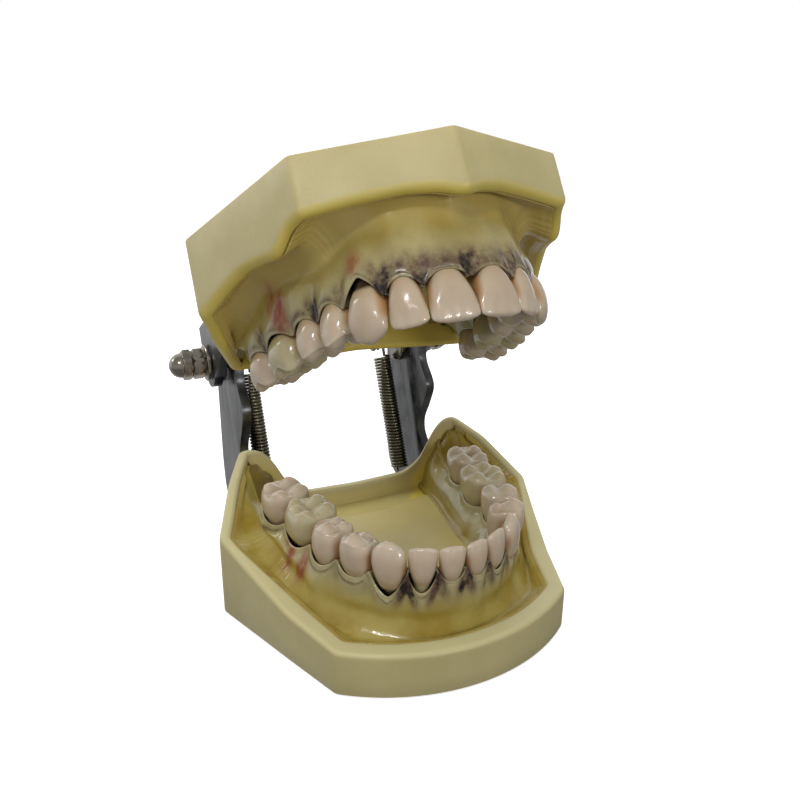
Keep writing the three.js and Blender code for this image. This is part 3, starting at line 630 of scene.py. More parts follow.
def biting_surface(mesial, outward, scale, half_width, half_depth, cusps):
    """Height over the edge plane: blunt cones that meet in grooves, inside a raised border."""
    slope, blunt, sharpness = 0.98, 1.0, 5.0
    end_ridge = -1.9 + 1.1 * (mesial / half_width / scale) ** 2
    heights = [end_ridge - 5.0 * np.maximum(0, 0.84 - scale) ** 2 * half_width]
    for at_mesial, at_outward, tip in cusps:
        away = np.hypot(mesial - at_mesial * half_width, outward - at_outward * half_depth)
        heights.append(tip - slope * (np.sqrt(away ** 2 + blunt ** 2) - blunt))
    return np.log(np.sum(np.exp(sharpness * np.array(heights)), axis=0)) / sharpness


def back_tooth(half_width, half_depth, crown, cusps):
    """Rings of a premolar or molar, from the middle of its biting surface to the root's tip."""
    cos, sin = squared(round_angles(TOOTH_SIDES), 0.8)
    crest = 0.84
    rings, marks, grooves = [], [], []
    for scale in (0.03, 0.1, 0.17, 0.25, 0.33, 0.41, 0.49, 0.57, 0.64, 0.71, 0.77, 0.81, crest):
        mesial, outward = cos * half_width * scale, sin * half_depth * scale
        height = biting_surface(mesial, outward, scale, half_width, half_depth, cusps)
        rings.append(np.stack([mesial, outward, -height], axis=-1))
        marks.append(tooth_marks(0, 0, 0.1))
        # Where the biting surface lies low; painted darker there as shade.
        grooves.append(smoothstep(-0.7, -1.7, height))
    shares = (0.03, 0.08, 0.15, 0.24, 0.34, 0.45, 0.56, 0.67, 0.77, 0.86, 0.94, 1.0, 1.06, 1.2, 1.5, 1.9)
    knots = (0, 0.04, 0.12, 0.3, 0.5, 0.7, 0.86, 1, 1.15, 1.5, 2.1)
    scales = (crest, 0.89, 0.945, 0.99, 1.0, 0.97, 0.9, 0.81, 0.73, 0.6, 0.45)
    for share in shares:
        scale = smooth_curve(knots, scales, share)
        lift = height * max(0.0, 1 - share) ** 2.2
        mesial = cos * half_width * scale
        # The outer wall is fullest near the neck and leans in towards the biting surface.
        lean = -0.07 * half_depth * max(0.0, 1 - share) ** 1.5
        outward = sin * half_depth * scale + lean * smoothstep(0, 0.06, share)
        rings.append(np.stack([mesial, outward, share * crown - lift], axis=-1))
        root = float(smoothstep(0.985, 1.03, share))
        contact = smoothstep(0.84, 0.99, np.abs(cos)) * smoothstep(0.15, 0.4, share)
        marks.append(tooth_marks(root, contact, share))
        grooves.append(0 * cos)
    return np.array(rings), np.array(marks), np.array(grooves)


def dark_root(jaw, side, index):
    """Whether a bare root, where the gum has sunk away from it, is painted dark as the shade inside its
    pocket. One bare root keeps its own colour.
    """
    return RECESSION[jaw.name, side][index] > ROOT_SHADE_FROM and (jaw.name, side, index) != UNSHADED_ROOT


def tooth_piece(jaw, side, index):
    """A crown with its root, from the rings of its kind, stood at its place in the arch."""
    name, sign = TEETH[index], SIDES[side]
    half_width = (jaw.widths[index] - CONTACT_GAP) / 2
    half_depth = jaw.depths[index] / 2
    if index < FRONT_TEETH:
        rings, marks, grooves = front_tooth(name, half_width, half_depth, jaw.crowns[index])
    else:
        cusps = CUSPS[jaw.name][name]
        rings, marks, grooves = back_tooth(half_width, half_depth, jaw.crowns[index], cusps)
    point, along, out = jaw.arch.place(sign * jaw.centres[index])
    height = jaw.edges[index] - jaw.up * rings[..., 2]
    flat = jaw.spine(np.broadcast_to(point, height.shape + (2,)), out, height)
    flat = flat - sign * rings[..., :1] * along + rings[..., 1:2] * out
    solid = np.concatenate([flat, height[..., None]], axis=-1)
    node = f"{jaw.name}_{side}_{name}"
    piece = skinned(f"{node}_crown", solid, jaw is UPPER)
    paint(piece, "marks", marks.reshape(-1, 3))
    # Painted shade on the roots that the gum has sunk far from.
    dark = np.full(grooves.size, float(dark_root(jaw, side, index)))
    paint(piece, "edges", np.stack([grooves.ravel(), dark], axis=-1))
    stand_for(piece, node, MATERIALS["cream" if name == "first_molar" else "enamel"])


# ---------------------------------------------------------------- bases

def bell(reach, spacing, sigma):
    """Weights for the values on either side of one, to soften a row over a distance."""
    weights = np.exp(-0.5 * (np.arange(-reach, reach + 1) * spacing / sigma) ** 2)
    return weights / weights.sum()


def smoothed_ring(values, spacing, sigma):
    """A closed row of values, softened over a distance."""
    reach = int(3 * sigma / spacing)
    weights = bell(reach, spacing, sigma)
    steps = range(-reach, reach + 1)
    return sum(w * np.roll(values, step, axis=0) for step, w in zip(steps, weights))


class Outline:
    """A base's outline from above, closed, with the height of its rim all the way round.

    It is given as its left half, from the back's middle to the front's, as (x, y, rim height).
    """

    SPACING = 0.45
    CORNER_SOFTNESS = 0.45
    RIM_SOFTNESS = 1.3

    def __init__(self, half):
        half = np.array(half, float)
        corners = np.vstack([half, half[-2:0:-1] * (-1, 1, 1)])
        closed = np.vstack([corners, corners[0]])
        distance = walked(closed[:, :2])
        count = int(distance[-1] / self.SPACING)
        at = np.linspace(0, distance[-1], count, endpoint=False)
        spacing = distance[-1] / count
        dense = np.stack([np.interp(at, distance, closed[:, k]) for k in range(3)], axis=-1)
        self.flat = smoothed_ring(dense[:, :2], spacing, self.CORNER_SOFTNESS)
        self.rim = smoothed_ring(dense[:, 2], spacing, self.RIM_SOFTNESS)

    def inset(self, distance):
        """The outline drawn towards the middle by a distance."""
        towards = BASE_MIDDLE - self.flat
        towards /= np.linalg.norm(towards, axis=1, keepdims=True)
        return self.flat + towards * np.reshape(distance, (-1, 1))

    def ring(self, distance, height):
        flat = self.inset(distance)
        return np.column_stack([flat, np.broadcast_to(height, len(flat))])

    def reach(self, point, out, inset):
        """How far each point is from the inset outline along its direction, and the rim there."""
        start = self.inset(inset)
        edge = np.roll(start, -1, axis=0) - start
        offset = start[None] - point[:, None]
        across = cross(out[:, None], edge[None])
        distance = cross(offset, edge[None]) / across
        share = cross(offset, out[:, None]) / across
        hit = (distance > 0) & (share >= 0) & (share <= 1)
        distance = np.where(hit, distance, np.inf)
        best = np.argmin(distance, axis=1)
        return distance[np.arange(len(point)), best], self.rim[best]


def lower_outline():
    """High heels at the back, sides bent at the widest place, and a front that is one arc."""
    corner_x, corner_y, front_y, front_rim = 26.3, 3.4, -5.5, 9.6
    sagitta = corner_y - front_y
    radius = (corner_x ** 2 + sagitta ** 2) / (2 * sagitta)
    front = []
    for angle in np.linspace(math.asin(corner_x / radius), 0, 30):
        front.append((radius * math.sin(angle), front_y + radius * (1 - math.cos(angle)), front_rim))
    return Outline([
        (0, 58, 16.2), (14, 58, 16.6), (19, 58, 19.5), (23, 58, 27.2), (26, 58, 29.8),
        (29, 58, 29.6), (33.6, 50, 26.1), (38.9, 39.1, 18.4), (35.2, 28.5, 14.6), (31.2, 17, 11),
        *front,
    ])


def upper_outline():
    """Sides bent at the widest place, a blunt point in front, and heels that hang low."""
    return Outline([
        (0, 57, 37), (20, 57, 36), (30, 57, 35.6), (35, 45.2, 37.8), (39.5, 34.1, 41.5),
        (36.7, 26.7, 43.6), (34, 19.6, 45), (31.7, 13.5, 44.4), (30.1, 9.4, 43.4), (28.6, 5.3, 46.6),
        (27, 1.1, 47.1), (18, -2.2, 47.9), (10, -5.1, 48.2), (4, -7.3, 47.4), (0, -8.8, 45.7),
    ])


LOWER_OUTLINE = lower_outline()
UPPER_OUTLINE = upper_outline()
LOWER_FOOT_Z = 0.0
TONGUE_FLOOR_Z = 13.0
LOWER_RIM = {"width": 4.2, "narrow": 2.5, "depth": 3.2, "outer_round": 1.0, "inner_round": 0.9}
HEEL_FLOOR_Z = 12.0  # the lower gum's bed, where the rim climbs away from it
UPPER_TOP_Z = 58.0
PALATE_Z = 42.0
UPPER_BED_DROP = 1.2  # the upper gum's bed lies this much deeper than the palate
UPPER_RIM = {"width": 2.8, "narrow": 2.8, "depth": 2.6, "outer_round": 1.6, "inner_round": 1.1}
FOOT_CHAMFER = 0.5


def rim_width(outline, rim):
    """A rim's width all the way round: it narrows where it is high."""
    return np.interp(outline.rim, (11, 17), (rim["width"], rim["narrow"]))


def rim_rings(outline, up, rim, sunk):
    """Rings over a rim: up the outer wall, round both edges and down its inner wall."""
    # bright is a painted highlight: the more a face of the rim turns upwards, the lighter it is painted.
    rings, bright, thin_and_glow = [], [], []

    # The second mask is the olive band, partly the resin's own olive, partly painted glow that brightens
    # it as if lit through.
    def add(inset, below, is_top_highlight, is_thin_and_glow):
        rings.append(outline.ring(inset, outline.rim - up * below))
        bright.append(is_top_highlight)
        thin_and_glow.append(is_thin_and_glow)

    outer, inner, width = rim["outer_round"], rim["inner_round"], rim_width(outline, rim)
    for below in (6.0, 4.0, 2.4, 1.8):
        add(0.0, below + outer - 1.0, 0.0, 0.0)
    for angle in np.linspace(0, math.pi / 2, 7):
        turn = math.sin(angle)
        add(outer * (1 - math.cos(angle)), outer * (1 - turn), turn, turn)
    for share in (1 / 3, 2 / 3):
        add(lerp(outer, width - inner, share), 0.0, 1.0, 1.0)
    for angle in np.linspace(0, math.pi / 2, 6):
        turn = math.sin(angle)
        add(width - inner * (1 - turn), inner * (1 - math.cos(angle)), 1 - turn, 1.0)
    drop = up * (outline.rim - sunk)
    add(width + 0.3, lerp(inner, drop, 0.5), 0.0, 1.0)
    add(width + 0.8, drop, 0.0, 1.0)
    return rings, np.array(bright), np.array(thin_and_glow)


def base_piece(jaw, outline, rim, flat_z, floor_z):
    """A base: its flat side, straight walls, rim, and the floor that the gum stands on."""
    up = jaw.up
    foot = []
    for inset, rise in ((26.0, 0), (12.0, 0), (FOOT_CHAMFER, 0), (0.12, 0.16), (0.0, FOOT_CHAMFER)):
        foot.append(outline.ring(inset, flat_z + up * rise))
    if jaw is LOWER:
        level = floor_z
        sunk = np.minimum(outline.rim - rim["depth"], HEEL_FLOOR_Z)
    else:
        level = np.maximum(outline.rim + rim["depth"], floor_z)
        sunk = level + UPPER_BED_DROP
    walls, bright, thin_and_glow = rim_rings(outline, up, rim, sunk)
    floor = []
    for inset, share in ((6.2, 0), (8, 0), (10, 0.25), (11, 0.6), (12, 0.9), (13, 1), (20, 1)):
        floor.append(outline.ring(inset, lerp(sunk, level, share)))
    rings = np.array(foot + walls + floor)
    piece = skinned(f"{jaw.name}_base_block", rings, jaw is UPPER)
    marks = np.zeros((len(rings), rings.shape[1], 2))
    inner = len(foot) + len(walls)
    if jaw is LOWER:
        # Painted highlight on the lower rim: lighter the more its faces turn upwards.
        marks[len(foot):inner, :, 1] = bright[:, None]
        marks[inner:, :, 0] = 0.3
        heels = np.maximum(0.3, smoothstep(16.5, 20, outline.rim))
        marks[inner - 2:inner + 3, :, 0] = heels
    else:
        # Olive band on the upper rim, painted brighter as if light shone through it; the floor takes
        # some of the olive.
        marks[len(foot):inner, :, 0] = thin_and_glow[:, None]
        marks[inner:, :, 0] = 0.55
    paint(piece, "marks", marks.reshape(-1, 2))
    places = [(side, index) for side in SIDES for index in range(len(TEETH))]
    recesses = [screw_recess(jaw, *place, flat_z) for place in places]
    combined(piece, recesses, "DIFFERENCE")
    unmarked(piece, jaw, flat_z)
    shade(piece, 38)
    stand_for(piece, f"{jaw.name}_base", MATERIALS["ivory"])


# The retaining screws, one over each root: this far inwards of the arch's line.
FRONT_SCREW_INSET = 5.2
BACK_SCREW_INSET = 1.5
RECESS_RADIUS = 2.3
RECESS_DEPTH = 2.6
SMEAR = 0.5  # how far past the recesses the cut smears the masks


def unmarked(piece, jaw, flat_z):
    """Clears the masks near the flat side, where cutting the recesses has smeared them."""
    places = np.empty((len(piece.data.vertices), 3))
    piece.data.vertices.foreach_get("co", places.ravel())
    place = places / MM + (0, BASE_CENTRE_Y, 0)
    height = place[:, 2]
    if jaw is UPPER:
        away = place - HINGE
        height = HINGE_Z + away[:, 1] * math.sin(OPEN_ANGLE) + away[:, 2] * math.cos(OPEN_ANGLE)
    colours = np.empty((len(places), 4))
    layer = piece.data.color_attributes["marks"]
    layer.data.foreach_get("color", colours.ravel())
    colours[np.abs(height - flat_z) < RECESS_DEPTH + SMEAR, :3] = 0
    layer.data.foreach_set("color", colours.ravel())


def screw_place(jaw, side, index):
    """Where the axis of a tooth's retaining screw meets the base's flat side."""
    point, _, out = jaw.arch.place(SIDES[side] * jaw.centres[index])
    return point - out * (FRONT_SCREW_INSET if index < FRONT_TEETH else BACK_SCREW_INSET)


def screw_recess(jaw, side, index, flat_z):
    """What is cut from a base for a screw's head: a round hole with a bevelled mouth."""
    x, y = screw_place(jaw, side, index)
    profile = [(-0.6, RECESS_RADIUS + 0.9), (0.3, RECESS_RADIUS), (RECESS_DEPTH, RECESS_RADIUS)]
    return upright("recess", jaw, x, y, flat_z, profile)


def upright(name, jaw, x, y, flat_z, profile):
    """A round solid square to a base's flat side, its profile as (depth into the base, radius)."""
    rings = []
    for depth, radius in profile:
        rings.append(ring_about(2, (x, y, flat_z + jaw.up * depth), radius, 28))
    return skinned(name, rings, jaw is UPPER)


def tooth_screw(jaw, side, index, flat_z):
    """A pan head at the bottom of its recess, with a slot for a screwdriver."""
    x, y = screw_place(jaw, side, index)
    head = [(RECESS_DEPTH + 0.2, 1.9), (1.7, 1.95), (1.35, 1.8), (1.1, 1.35), (1.0, 0.1)]
    piece = upright(f"{jaw.name}_{side}_{TEETH[index]}_screw", jaw, x, y, flat_z, head)
    turn = 0.7 * index + SIDES[side]
    slot = slab(x, y, flat_z + jaw.up * 1.1, 5.0, 0.55, 0.9, turn, jaw is UPPER)
    combined(piece, [slot], "DIFFERENCE")
    shade(piece, 35)
    piece.data.materials.clear()
    piece.data.materials.append(MATERIALS["bright"])
    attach(piece, f"{jaw.name}_jaw")


def slab(x, y, z, length, width, height, turn, swung):
    """A flat bar round a point, turned about the vertical."""
    cos, sin = math.cos(turn), math.sin(turn)
    corners = [(-1, -1), (1, -1), (1, 1), (-1, 1)]
    rings = []
    for dz in (-height / 2, height / 2):
        ring = []
        for a, b in corners:
            along, across = a * length / 2, b * width / 2
            ring.append((x + along * cos - across * sin, y + along * sin + across * cos, z + dz))
        rings.append(ring)
    return skinned("slab", rings, swung)


# ---------------------------------------------------------------- gum masks

GUM_STATIONS = 560
GUM_STEPS = 7
GUM_OVERRUN = {"lower": 4.5, "upper": 7.2}  # past the arch, to end inside the base's rear rim
GUM_FOOT_Z = {"lower": 6.0, "upper": 52.0}  # where the gum ends, hidden inside the base
GUM_FLOOR_LIFT = 0.1  # how far the gum's inner edge stands off the base's floor
FOLD_DEPTH = {"lower": 1.5, "upper": 2.2}
# How far the gum has sunk below each neck, from the midline back, on the outer side.
RECESSION = {
    ("lower", "right"): (-0.1, 1.8, 2.2, 0.1, 0.4, 1.0, 0.5),
    ("lower", "left"): (0.1, 0.5, 0.2, 0.1, 0.1, 0.2, 0.1),
    ("upper", "right"): (0.0, 0.0, 2.6, 0.3, 0.3, 0.6, 0.2),
    ("upper", "left"): (0.0, 0.1, 0.1, 0.1, 0.1, 0.2, 0.1),
}
ROOT_SHADE_FROM = 0.55  # the recession from which a bare root is painted dark, as shade in its pocket
# The one bare root left in its own colour, without painted shade.
UNSHADED_ROOT = ("lower", "right", 1)
# How far the gum between two teeth rises over the necks, at the midline and behind each tooth.
PAPILLA = {
    "lower": (3.2, 3.2, 3.6, 3.0, 2.4, 2.0, 1.6, 0.4),
    "upper": (1.8, 2.6, 2.8, 2.2, 1.9, 1.7, 1.4, 0.4),
}
# Dark deposits showing through between two teeth: (side, border, strength, size in mm).
SMOKE = {
    "lower": (
        ("right", 0, 1.0, 1.9), ("right", 1, 1.0, 1.9), ("right", 2, 1.0, 2.1),
        ("left", 1, 0.9, 1.8), ("left", 2, 0.95, 1.8), ("left", 3, 1.0, 2.6),
        ("right", 3, 0.4, 1.4), ("right", 4, 0.4, 1.2),
    ),
    "upper": (
        ("right", 0, 1.0, 2.4), ("right", 1, 1.0, 2.4), ("right", 2, 1.0, 2.1),
        ("left", 1, 1.0, 2.4), ("left", 2, 1.0, 2.3), ("left", 3, 0.8, 2.0),
        ("right", 3, 0.8, 1.5), ("right", 4, 1.0, 1.8), ("right", 6, 0.9, 1.9),
    ),
}
# A dark arc under the gum's edge: (side, tooth, strength, distance from the edge, thickness).
ARCS = {
    "lower": (
        ("right", 1, 0.8, 0.9, 0.35), ("right", 2, 0.7, 1.3, 0.3), ("right", 3, 0.85, 1.25, 0.3),
        ("right", 4, 0.8, 1.25, 0.3), ("right", 6, 0.85, 1.2, 0.35), ("left", 1, 0.8, 1.1, 0.35),
        ("left", 0, 0.4, 1.3, 0.4), ("right", 0, 0.4, 1.0, 0.3),
    ),
    "upper": (
        ("right", 0, 0.9, 1.6, 2.2), ("right", 1, 0.95, 1.6, 2.4), ("left", 0, 0.85, 1.6, 2.2),
        ("left", 1, 0.8, 1.6, 2.0), ("left", 2, 0.65, 1.5, 1.8), ("right", 3, 0.7, 0.9, 0.8),
        ("right", 4, 0.9, 1.1, 0.9), ("right", 5, 0.5, 1.0, 0.5), ("right", 6, 0.7, 1.1, 0.8),
    ),
}
# Inflamed patches: (side, tooth, apical distance, half width, half height, strength).
FLUSHES = {
    "lower": (
        ("right", 4.45, 3.2, 1.6, 3.4, 1.0), ("right", 4.95, 3.2, 1.5, 3.2, 0.95),
        ("right", 5.15, 0.8, 1.3, 1.0, 1.0),
    ),
    "upper": (("right", 4.6, 4.4, 2.8, 5.2, 1.0), ("right", 2.05, 5.2, 1.9, 2.4, 0.6)),
}


def softened(values, spacing, sigma):
    """An open row of values, softened over a distance."""
    reach = int(3 * sigma / spacing) + 1
    weights = bell(reach, spacing, sigma)
    return np.convolve(np.pad(values, reach, mode="edge"), weights, mode="valid")


def closed_sections(controls, steps):
    """Rings through control points (stations, points, 2), smooth and closed on themselves."""
    before, after = np.roll(controls, 1, axis=1), np.roll(controls, -1, axis=1)
    beyond = np.roll(controls, -2, axis=1)
    shares = np.linspace(0, 1, steps, endpoint=False)
    rows = np.stack([spline(before, controls, after, beyond, t) for t in shares], axis=2)
    return rows.reshape(len(controls), -1, 2)


def tooth_distance(jaw, side, position):
    """Distance along the arch of a place counted in teeth, 0 being the first tooth's middle."""
    return SIDES[side] * np.interp(position, range(len(TEETH)), jaw.centres)


def gum_piece(jaw, outline, rim, base_floor_z):
    """A gum mask: sections across the arch, from inside the base's rim to the floor's edge.

    Each line of the profile is (distance outwards from the roots' middle, height), worked out
    at every station along the arch.
    """
    up = jaw.up
    floor_z = base_floor_z + up * GUM_FLOOR_LIFT
    foot_z = GUM_FOOT_Z[jaw.name]
    reach_out = jaw.arch.half_length + GUM_OVERRUN[jaw.name]
    u = np.linspace(-reach_out, reach_out, GUM_STATIONS)
    point, _, out = jaw.arch.place(u)
    y = point[:, 1]
    distance = np.abs(u)

    centres = np.concatenate([-jaw.centres[::-1], jaw.centres])
    halves = np.concatenate([jaw.widths[::-1], jaw.widths]) / 2
    sunk = np.concatenate([RECESSION[jaw.name, "right"][::-1], RECESSION[jaw.name, "left"]])
    nearest = np.argmin(np.abs(u[:, None] - centres) / halves, axis=1)
    x = np.clip(np.abs(u - centres[nearest]) / halves[nearest], 0, 1)
    sunk = sunk[nearest]
    between = smoothstep(0.62, 0.96, x)

    neck = np.interp(distance, jaw.centres, jaw.necks)
    papilla = np.interp(distance, jaw.borders, PAPILLA[jaw.name])
    notch = np.where(sunk > 2, 0.85, 1.6)  # the deepest recessions are pointed
    outer_margin = neck - up * (sunk * (1 - x ** notch) - papilla * x ** 2.4)
    inner_margin = neck - up * (0.4 * (1 - x ** 1.6) - papilla * 0.7 * x ** 2.4)

    # Behind the last molar the crest follows the base's rim, just inside it.
    rim_at = outline.reach(point, out, 0.0)[1]
    behind = smoothstep(jaw.borders[-1] - 0.4, jaw.arch.half_length + 2.5, distance)
    outer_margin = lerp(outer_margin, rim_at - up * 1.2, behind)
    inner_margin = lerp(inner_margin, rim_at - up * 3.6, behind)

    spacing = u[1] - u[0]
    outer_margin = softened(outer_margin, spacing, 0.28)
    inner_margin = softened(inner_margin, spacing, 0.28)
    near = softened(outer_margin, spacing, 0.7)
    broad = softened(outer_margin, spacing, 2.2)
    inner_broad = softened(inner_margin, spacing, 1.8)

    def to_rim(height, inset):
        return outline.reach(jaw.spine(point, out, height), out, inset)[0]

    edge_z = rim_at - up * 0.4
    edge = to_rim(edge_z, rim_width(outline, rim) - 0.3)
    fold_z = rim_at - up * FOLD_DEPTH[jaw.name]
    half = along_arch(6, 3.0, 26, 4.6)(y)
    half_depth = np.interp(distance, jaw.centres, np.array(jaw.depths) / 2 * 0.84)
    clear = np.where(sunk > 0.35, 0.32, 0.12)
    lip = softened(half_depth * np.sqrt(1 - (0.72 * x) ** 2) + clear, spacing, 0.3)
    lip = np.minimum(lip, edge - 0.8)
    side_out = np.minimum(half + 1.0, edge - 0.9)
    flank = np.minimum(half + 0.5, edge - 1)
    eminence = (0.5 + 0.5 * np.cos(math.pi * x)) * along_arch(8, 0.42, 24, 0.35)(y)
    pocket = lerp(1.6, 0.35, between)
    spread = half + 2.4
    socket_z = lerp(neck - up * 2.6, outer_margin - up * 0.5, between)
    # The root shapes fade out where the rim stands above the gum's edge.
    drop = smoothstep(0.6, 4.0, up * (broad - fold_z))
    profile = {
        "hidden foot": (edge - 0.6, foot_z),
        "against the rim": (edge + 0.4, rim_at - up * 3.3),
        "edge": (edge, edge_z),
        "bead": (edge - 0.55, rim_at - up * 0.38),
        "bead foot": (np.maximum(edge - 1.5, half * 0.9), rim_at - up * 0.95),
        "fold": (lerp(side_out, edge, 0.45), fold_z),
        "root flank": (side_out + eminence * 0.5, lerp(broad, fold_z, 0.72)),
        "root": (flank + eminence, lerp(broad, fold_z, 0.46)),
        "below lip": (lip + 0.7 - 0.35 * drop + eminence * 0.4, near + up * (0.1 - 1.8 * drop)),
        "under lip": (lip + 0.14, outer_margin - up * (0.1 + 0.5 * drop)),
        "lip": (lip + 0.02, outer_margin - up * 0.12),
        "lip inside": (lip - 0.32, outer_margin - up * 0.12),
        "pocket": (lip - 0.75, outer_margin - up * pocket),
        "socket": (0, socket_z),
        "inner pocket": (0.75 - lip, inner_margin - up * pocket),
        "inner lip inside": (0.38 - lip, inner_margin - up * 0.12),
        "inner lip": (-lip - 0.02, inner_margin - up * 0.15),
        "under inner lip": (-lip - 0.4, lerp(inner_margin, inner_broad, 0.6) - up * 1.5),
        "inner flank": (-half - 1.1, lerp(inner_broad, floor_z, 0.52)),
        "inner slope": (-half - 1.75, lerp(inner_broad, floor_z, 0.78)),
        "floor": (-spread, floor_z + up * 0.45),
        "floor edge": (-spread - 0.9, floor_z),
        "floor lip": (-spread - 1.0, floor_z - up * 1.2),
        "inner hidden foot": (-spread, foot_z),
    }
    level = np.ones_like(u)
    lines = [np.stack([a * level, b * level], axis=-1) for a, b in profile.values()]
    controls = np.stack(lines, axis=1)
    section = closed_sections(controls, GUM_STEPS)
    height = section[..., 1]
    middle = jaw.spine(point[:, None].repeat(height.shape[1], 1), out[:, None], height)
    solid = np.concatenate([middle + section[..., :1] * out[:, None], height[..., None]], axis=-1)
    piece = skinned(f"{jaw.name}_gum", solid, jaw is UPPER)
    rows = {label: row for row, label in enumerate(profile)}
    margins = (outer_margin[:, None], inner_margin[:, None])
    gum_marks(piece, jaw, u, between, section, rows, margins, fold_z, neck, sunk)
    stand_for(piece, f"{jaw.name}_gum_mask", MATERIALS["gum"])


def gum_marks(piece, jaw, u, between, section, rows, margins, fold_z, neck, sunk):
    """Masks for the gum's colours, by distance along the arch and below the gum's edge."""
    outward = section[..., 0] > 0
    edge = np.where(outward, *margins)
    below = jaw.up * (edge - section[..., 1])
    below_neck = jaw.up * (neck[:, None] - section[..., 1])
    order = np.arange(section.shape[1]) / GUM_STEPS  # counted in control points
    is_outer = ((order > rows["edge"]) & (order < rows["lip inside"]))[None]
    inside = ((order > rows["lip inside"] + 0.2) & (order < rows["inner lip inside"] - 0.2))[None]
    level = np.ones(section.shape[:2])

    def ridge(label, width):
        return np.exp(-((order - rows[label]) / width) ** 2)[None] * level

    stain = 0 * level
    for side, border, strength, size in SMOKE[jaw.name]:
        at = SIDES[side] * jaw.borders[border]
        away = ((u[:, None] - at) / size) ** 2 + ((below - 2.0) / (size * 1.35)) ** 2
        stain = np.maximum(stain, strength * np.minimum(1, 1.5 * np.exp(-away ** 1.4)))
    for side, tooth, strength, at_below, thickness in ARCS[jaw.name]:
        away = np.abs(u[:, None] - SIDES[side] * jaw.centres[tooth]) / (jaw.widths[tooth] / 2)
        arc_height = np.exp(-((below - at_below) / thickness) ** 2)
        stain = np.maximum(stain, strength * smoothstep(1.1, 0.72, away) * arc_height)
    stain *= is_outer * smoothstep(rows["root flank"] + 0.2, rows["root"] + 0.3, order)[None]

    red = 0 * level
    for side, tooth, away_z, size_u, size_z, strength in FLUSHES[jaw.name]:
        at = tooth_distance(jaw, side, tooth)
        away = ((u[:, None] - at) / size_u) ** 2 + ((below_neck - away_z) / size_z) ** 2
        red = np.maximum(red, strength * np.exp(-away ** 1.6))
    red *= is_outer

    total = np.maximum(1.5, jaw.up * (margins[0] - fold_z[:, None]))
    near_rim = smoothstep(rows["below lip"] + 0.2, rows["root flank"] + 0.4, order)[None]
    outer_depth = np.maximum(smoothstep(0.12, 0.7, below / total), near_rim)
    depth = np.where(outward, outer_depth, smoothstep(2.5, 7.5, below))
    # Painted shade inside the pockets under the gum's edge, deeper where the gum has sunk.
    dark = inside * level * (1 - between[:, None] * 0.5) * smoothstep(-0.1, 0.5, sunk)[:, None]
    heel = smoothstep(jaw.borders[-1], jaw.borders[-1] + 3, np.abs(u))[:, None]
    depth = np.maximum(depth, heel) * (1.0 if jaw is LOWER else 0.75)
    # lips: pale resin at the rolled edge, partly a painted highlight along it.
    lips = (1 - heel) * (ridge("lip", 0.6) + 0.4 * ridge("inner lip", 0.5))
    lips = lips * (1 - between[:, None]) * np.clip(0.3 + 0.5 * sunk[:, None], 0, 1)
    paint(piece, "marks", np.stack([stain, red, depth], axis=-1).reshape(-1, 3))
    # glow is painted light: a faint painted highlight along the lower gum's bead, and on the upper gum a
    # brighter band from the roots to the fold, as if lit through the resin.
    if jaw is LOWER:
        glow = 0.3 * ridge("bead", 0.6)
    else:
        lips *= 0.15
        glow = smoothstep(rows["root"] - 0.2, rows["fold"] + 0.2, order)[None] * is_outer * level
    paint(piece, "edges", np.stack([dark, lips, glow], axis=-1).reshape(-1, 3))


# ---------------------------------------------------------------- hinge hardware

SHEET = 2.2
BRACKET_SCREW_X = 13.0
POST_INNER_X = 23.8
ARM_INNER_X = 27.4
LOWER_PLATE_Y, LOWER_PLATE_HEIGHTS = 58.3, (2, 14)
UPPER_PLATE_Y, UPPER_PLATE_HEIGHTS = 57.3, (44, 56)
LOWER_SCREW_Z = 8.0
UPPER_SCREW_Z = 51.0
UPPER_STUD = (HINGE_Y + 3.2, HINGE_Z - 1.5)
LOWER_STUD = (69.3, 8.0)
SEAT_GAP = 0.02  # between a screw's head and the plate under it
BORE_RADIUS = 2.35
RIVET_BORE_RADIUS = 1.5
SCREW_HOLE_RADIUS = 1.7
EAR_RADIUS = 6.3
HEX_RADIUS = 7 / math.sqrt(3)
WASHER_THICKNESS = 0.8
WASHER_CHAMFER = 0.15
# The knob that keeps a spring's hook on its stud, as (distance from the midline, radius).
STUD_HEAD = [(16.4, 0.3), (16.45, 1.1), (16.7, 1.6), (17.1, 1.75), (17.5, 1.6), (17.7, 1.2)]


def arc(centre, radius, start, end, count):
    """Points of an arc in Y and Z, its angles in degrees."""
    angles = np.radians(np.linspace(start, end, count))
    return [(centre[0] + radius * math.cos(a), centre[1] + radius * math.sin(a)) for a in angles]


def smooth_line(points):
    """A smooth open line through points."""
    points = np.array(points, float)
    padded = np.vstack([2 * points[0] - points[1], points, 2 * points[-1] - points[-2]])
    line = []
    for i in range(len(points) - 1):
        for t in np.linspace(0, 1, 6, endpoint=False):
            line.append(tuple(spline(*padded[i:i + 4], t)))
    return line + [tuple(points[-1])]


def side_plate(outline, from_x, to_x, swung):
    """A plate from an outline in Y and Z between two X."""
    rings = np.array([[(x, y, z) for y, z in outline] for x in (from_x, to_x)])
    count = len(outline)
    points = rings.reshape(-1, 3)
    faces = [tuple(range(count)), tuple(range(2 * count - 1, count - 1, -1))]
    for i in range(count):
        j = (i + 1) % count
        faces.append((i, j, count + j, count + i))
    return make_object("plate", points, faces, swung)


def turned(name, side, centre, profile, count, swung=False):
    """A round piece about a line along X, its profile as (distance from the midline, radius)."""
    rings = [ring_about(0, (SIDES[side] * x, *centre), radius, count) for x, radius in profile]
    return skinned(name, rings, swung, 34)


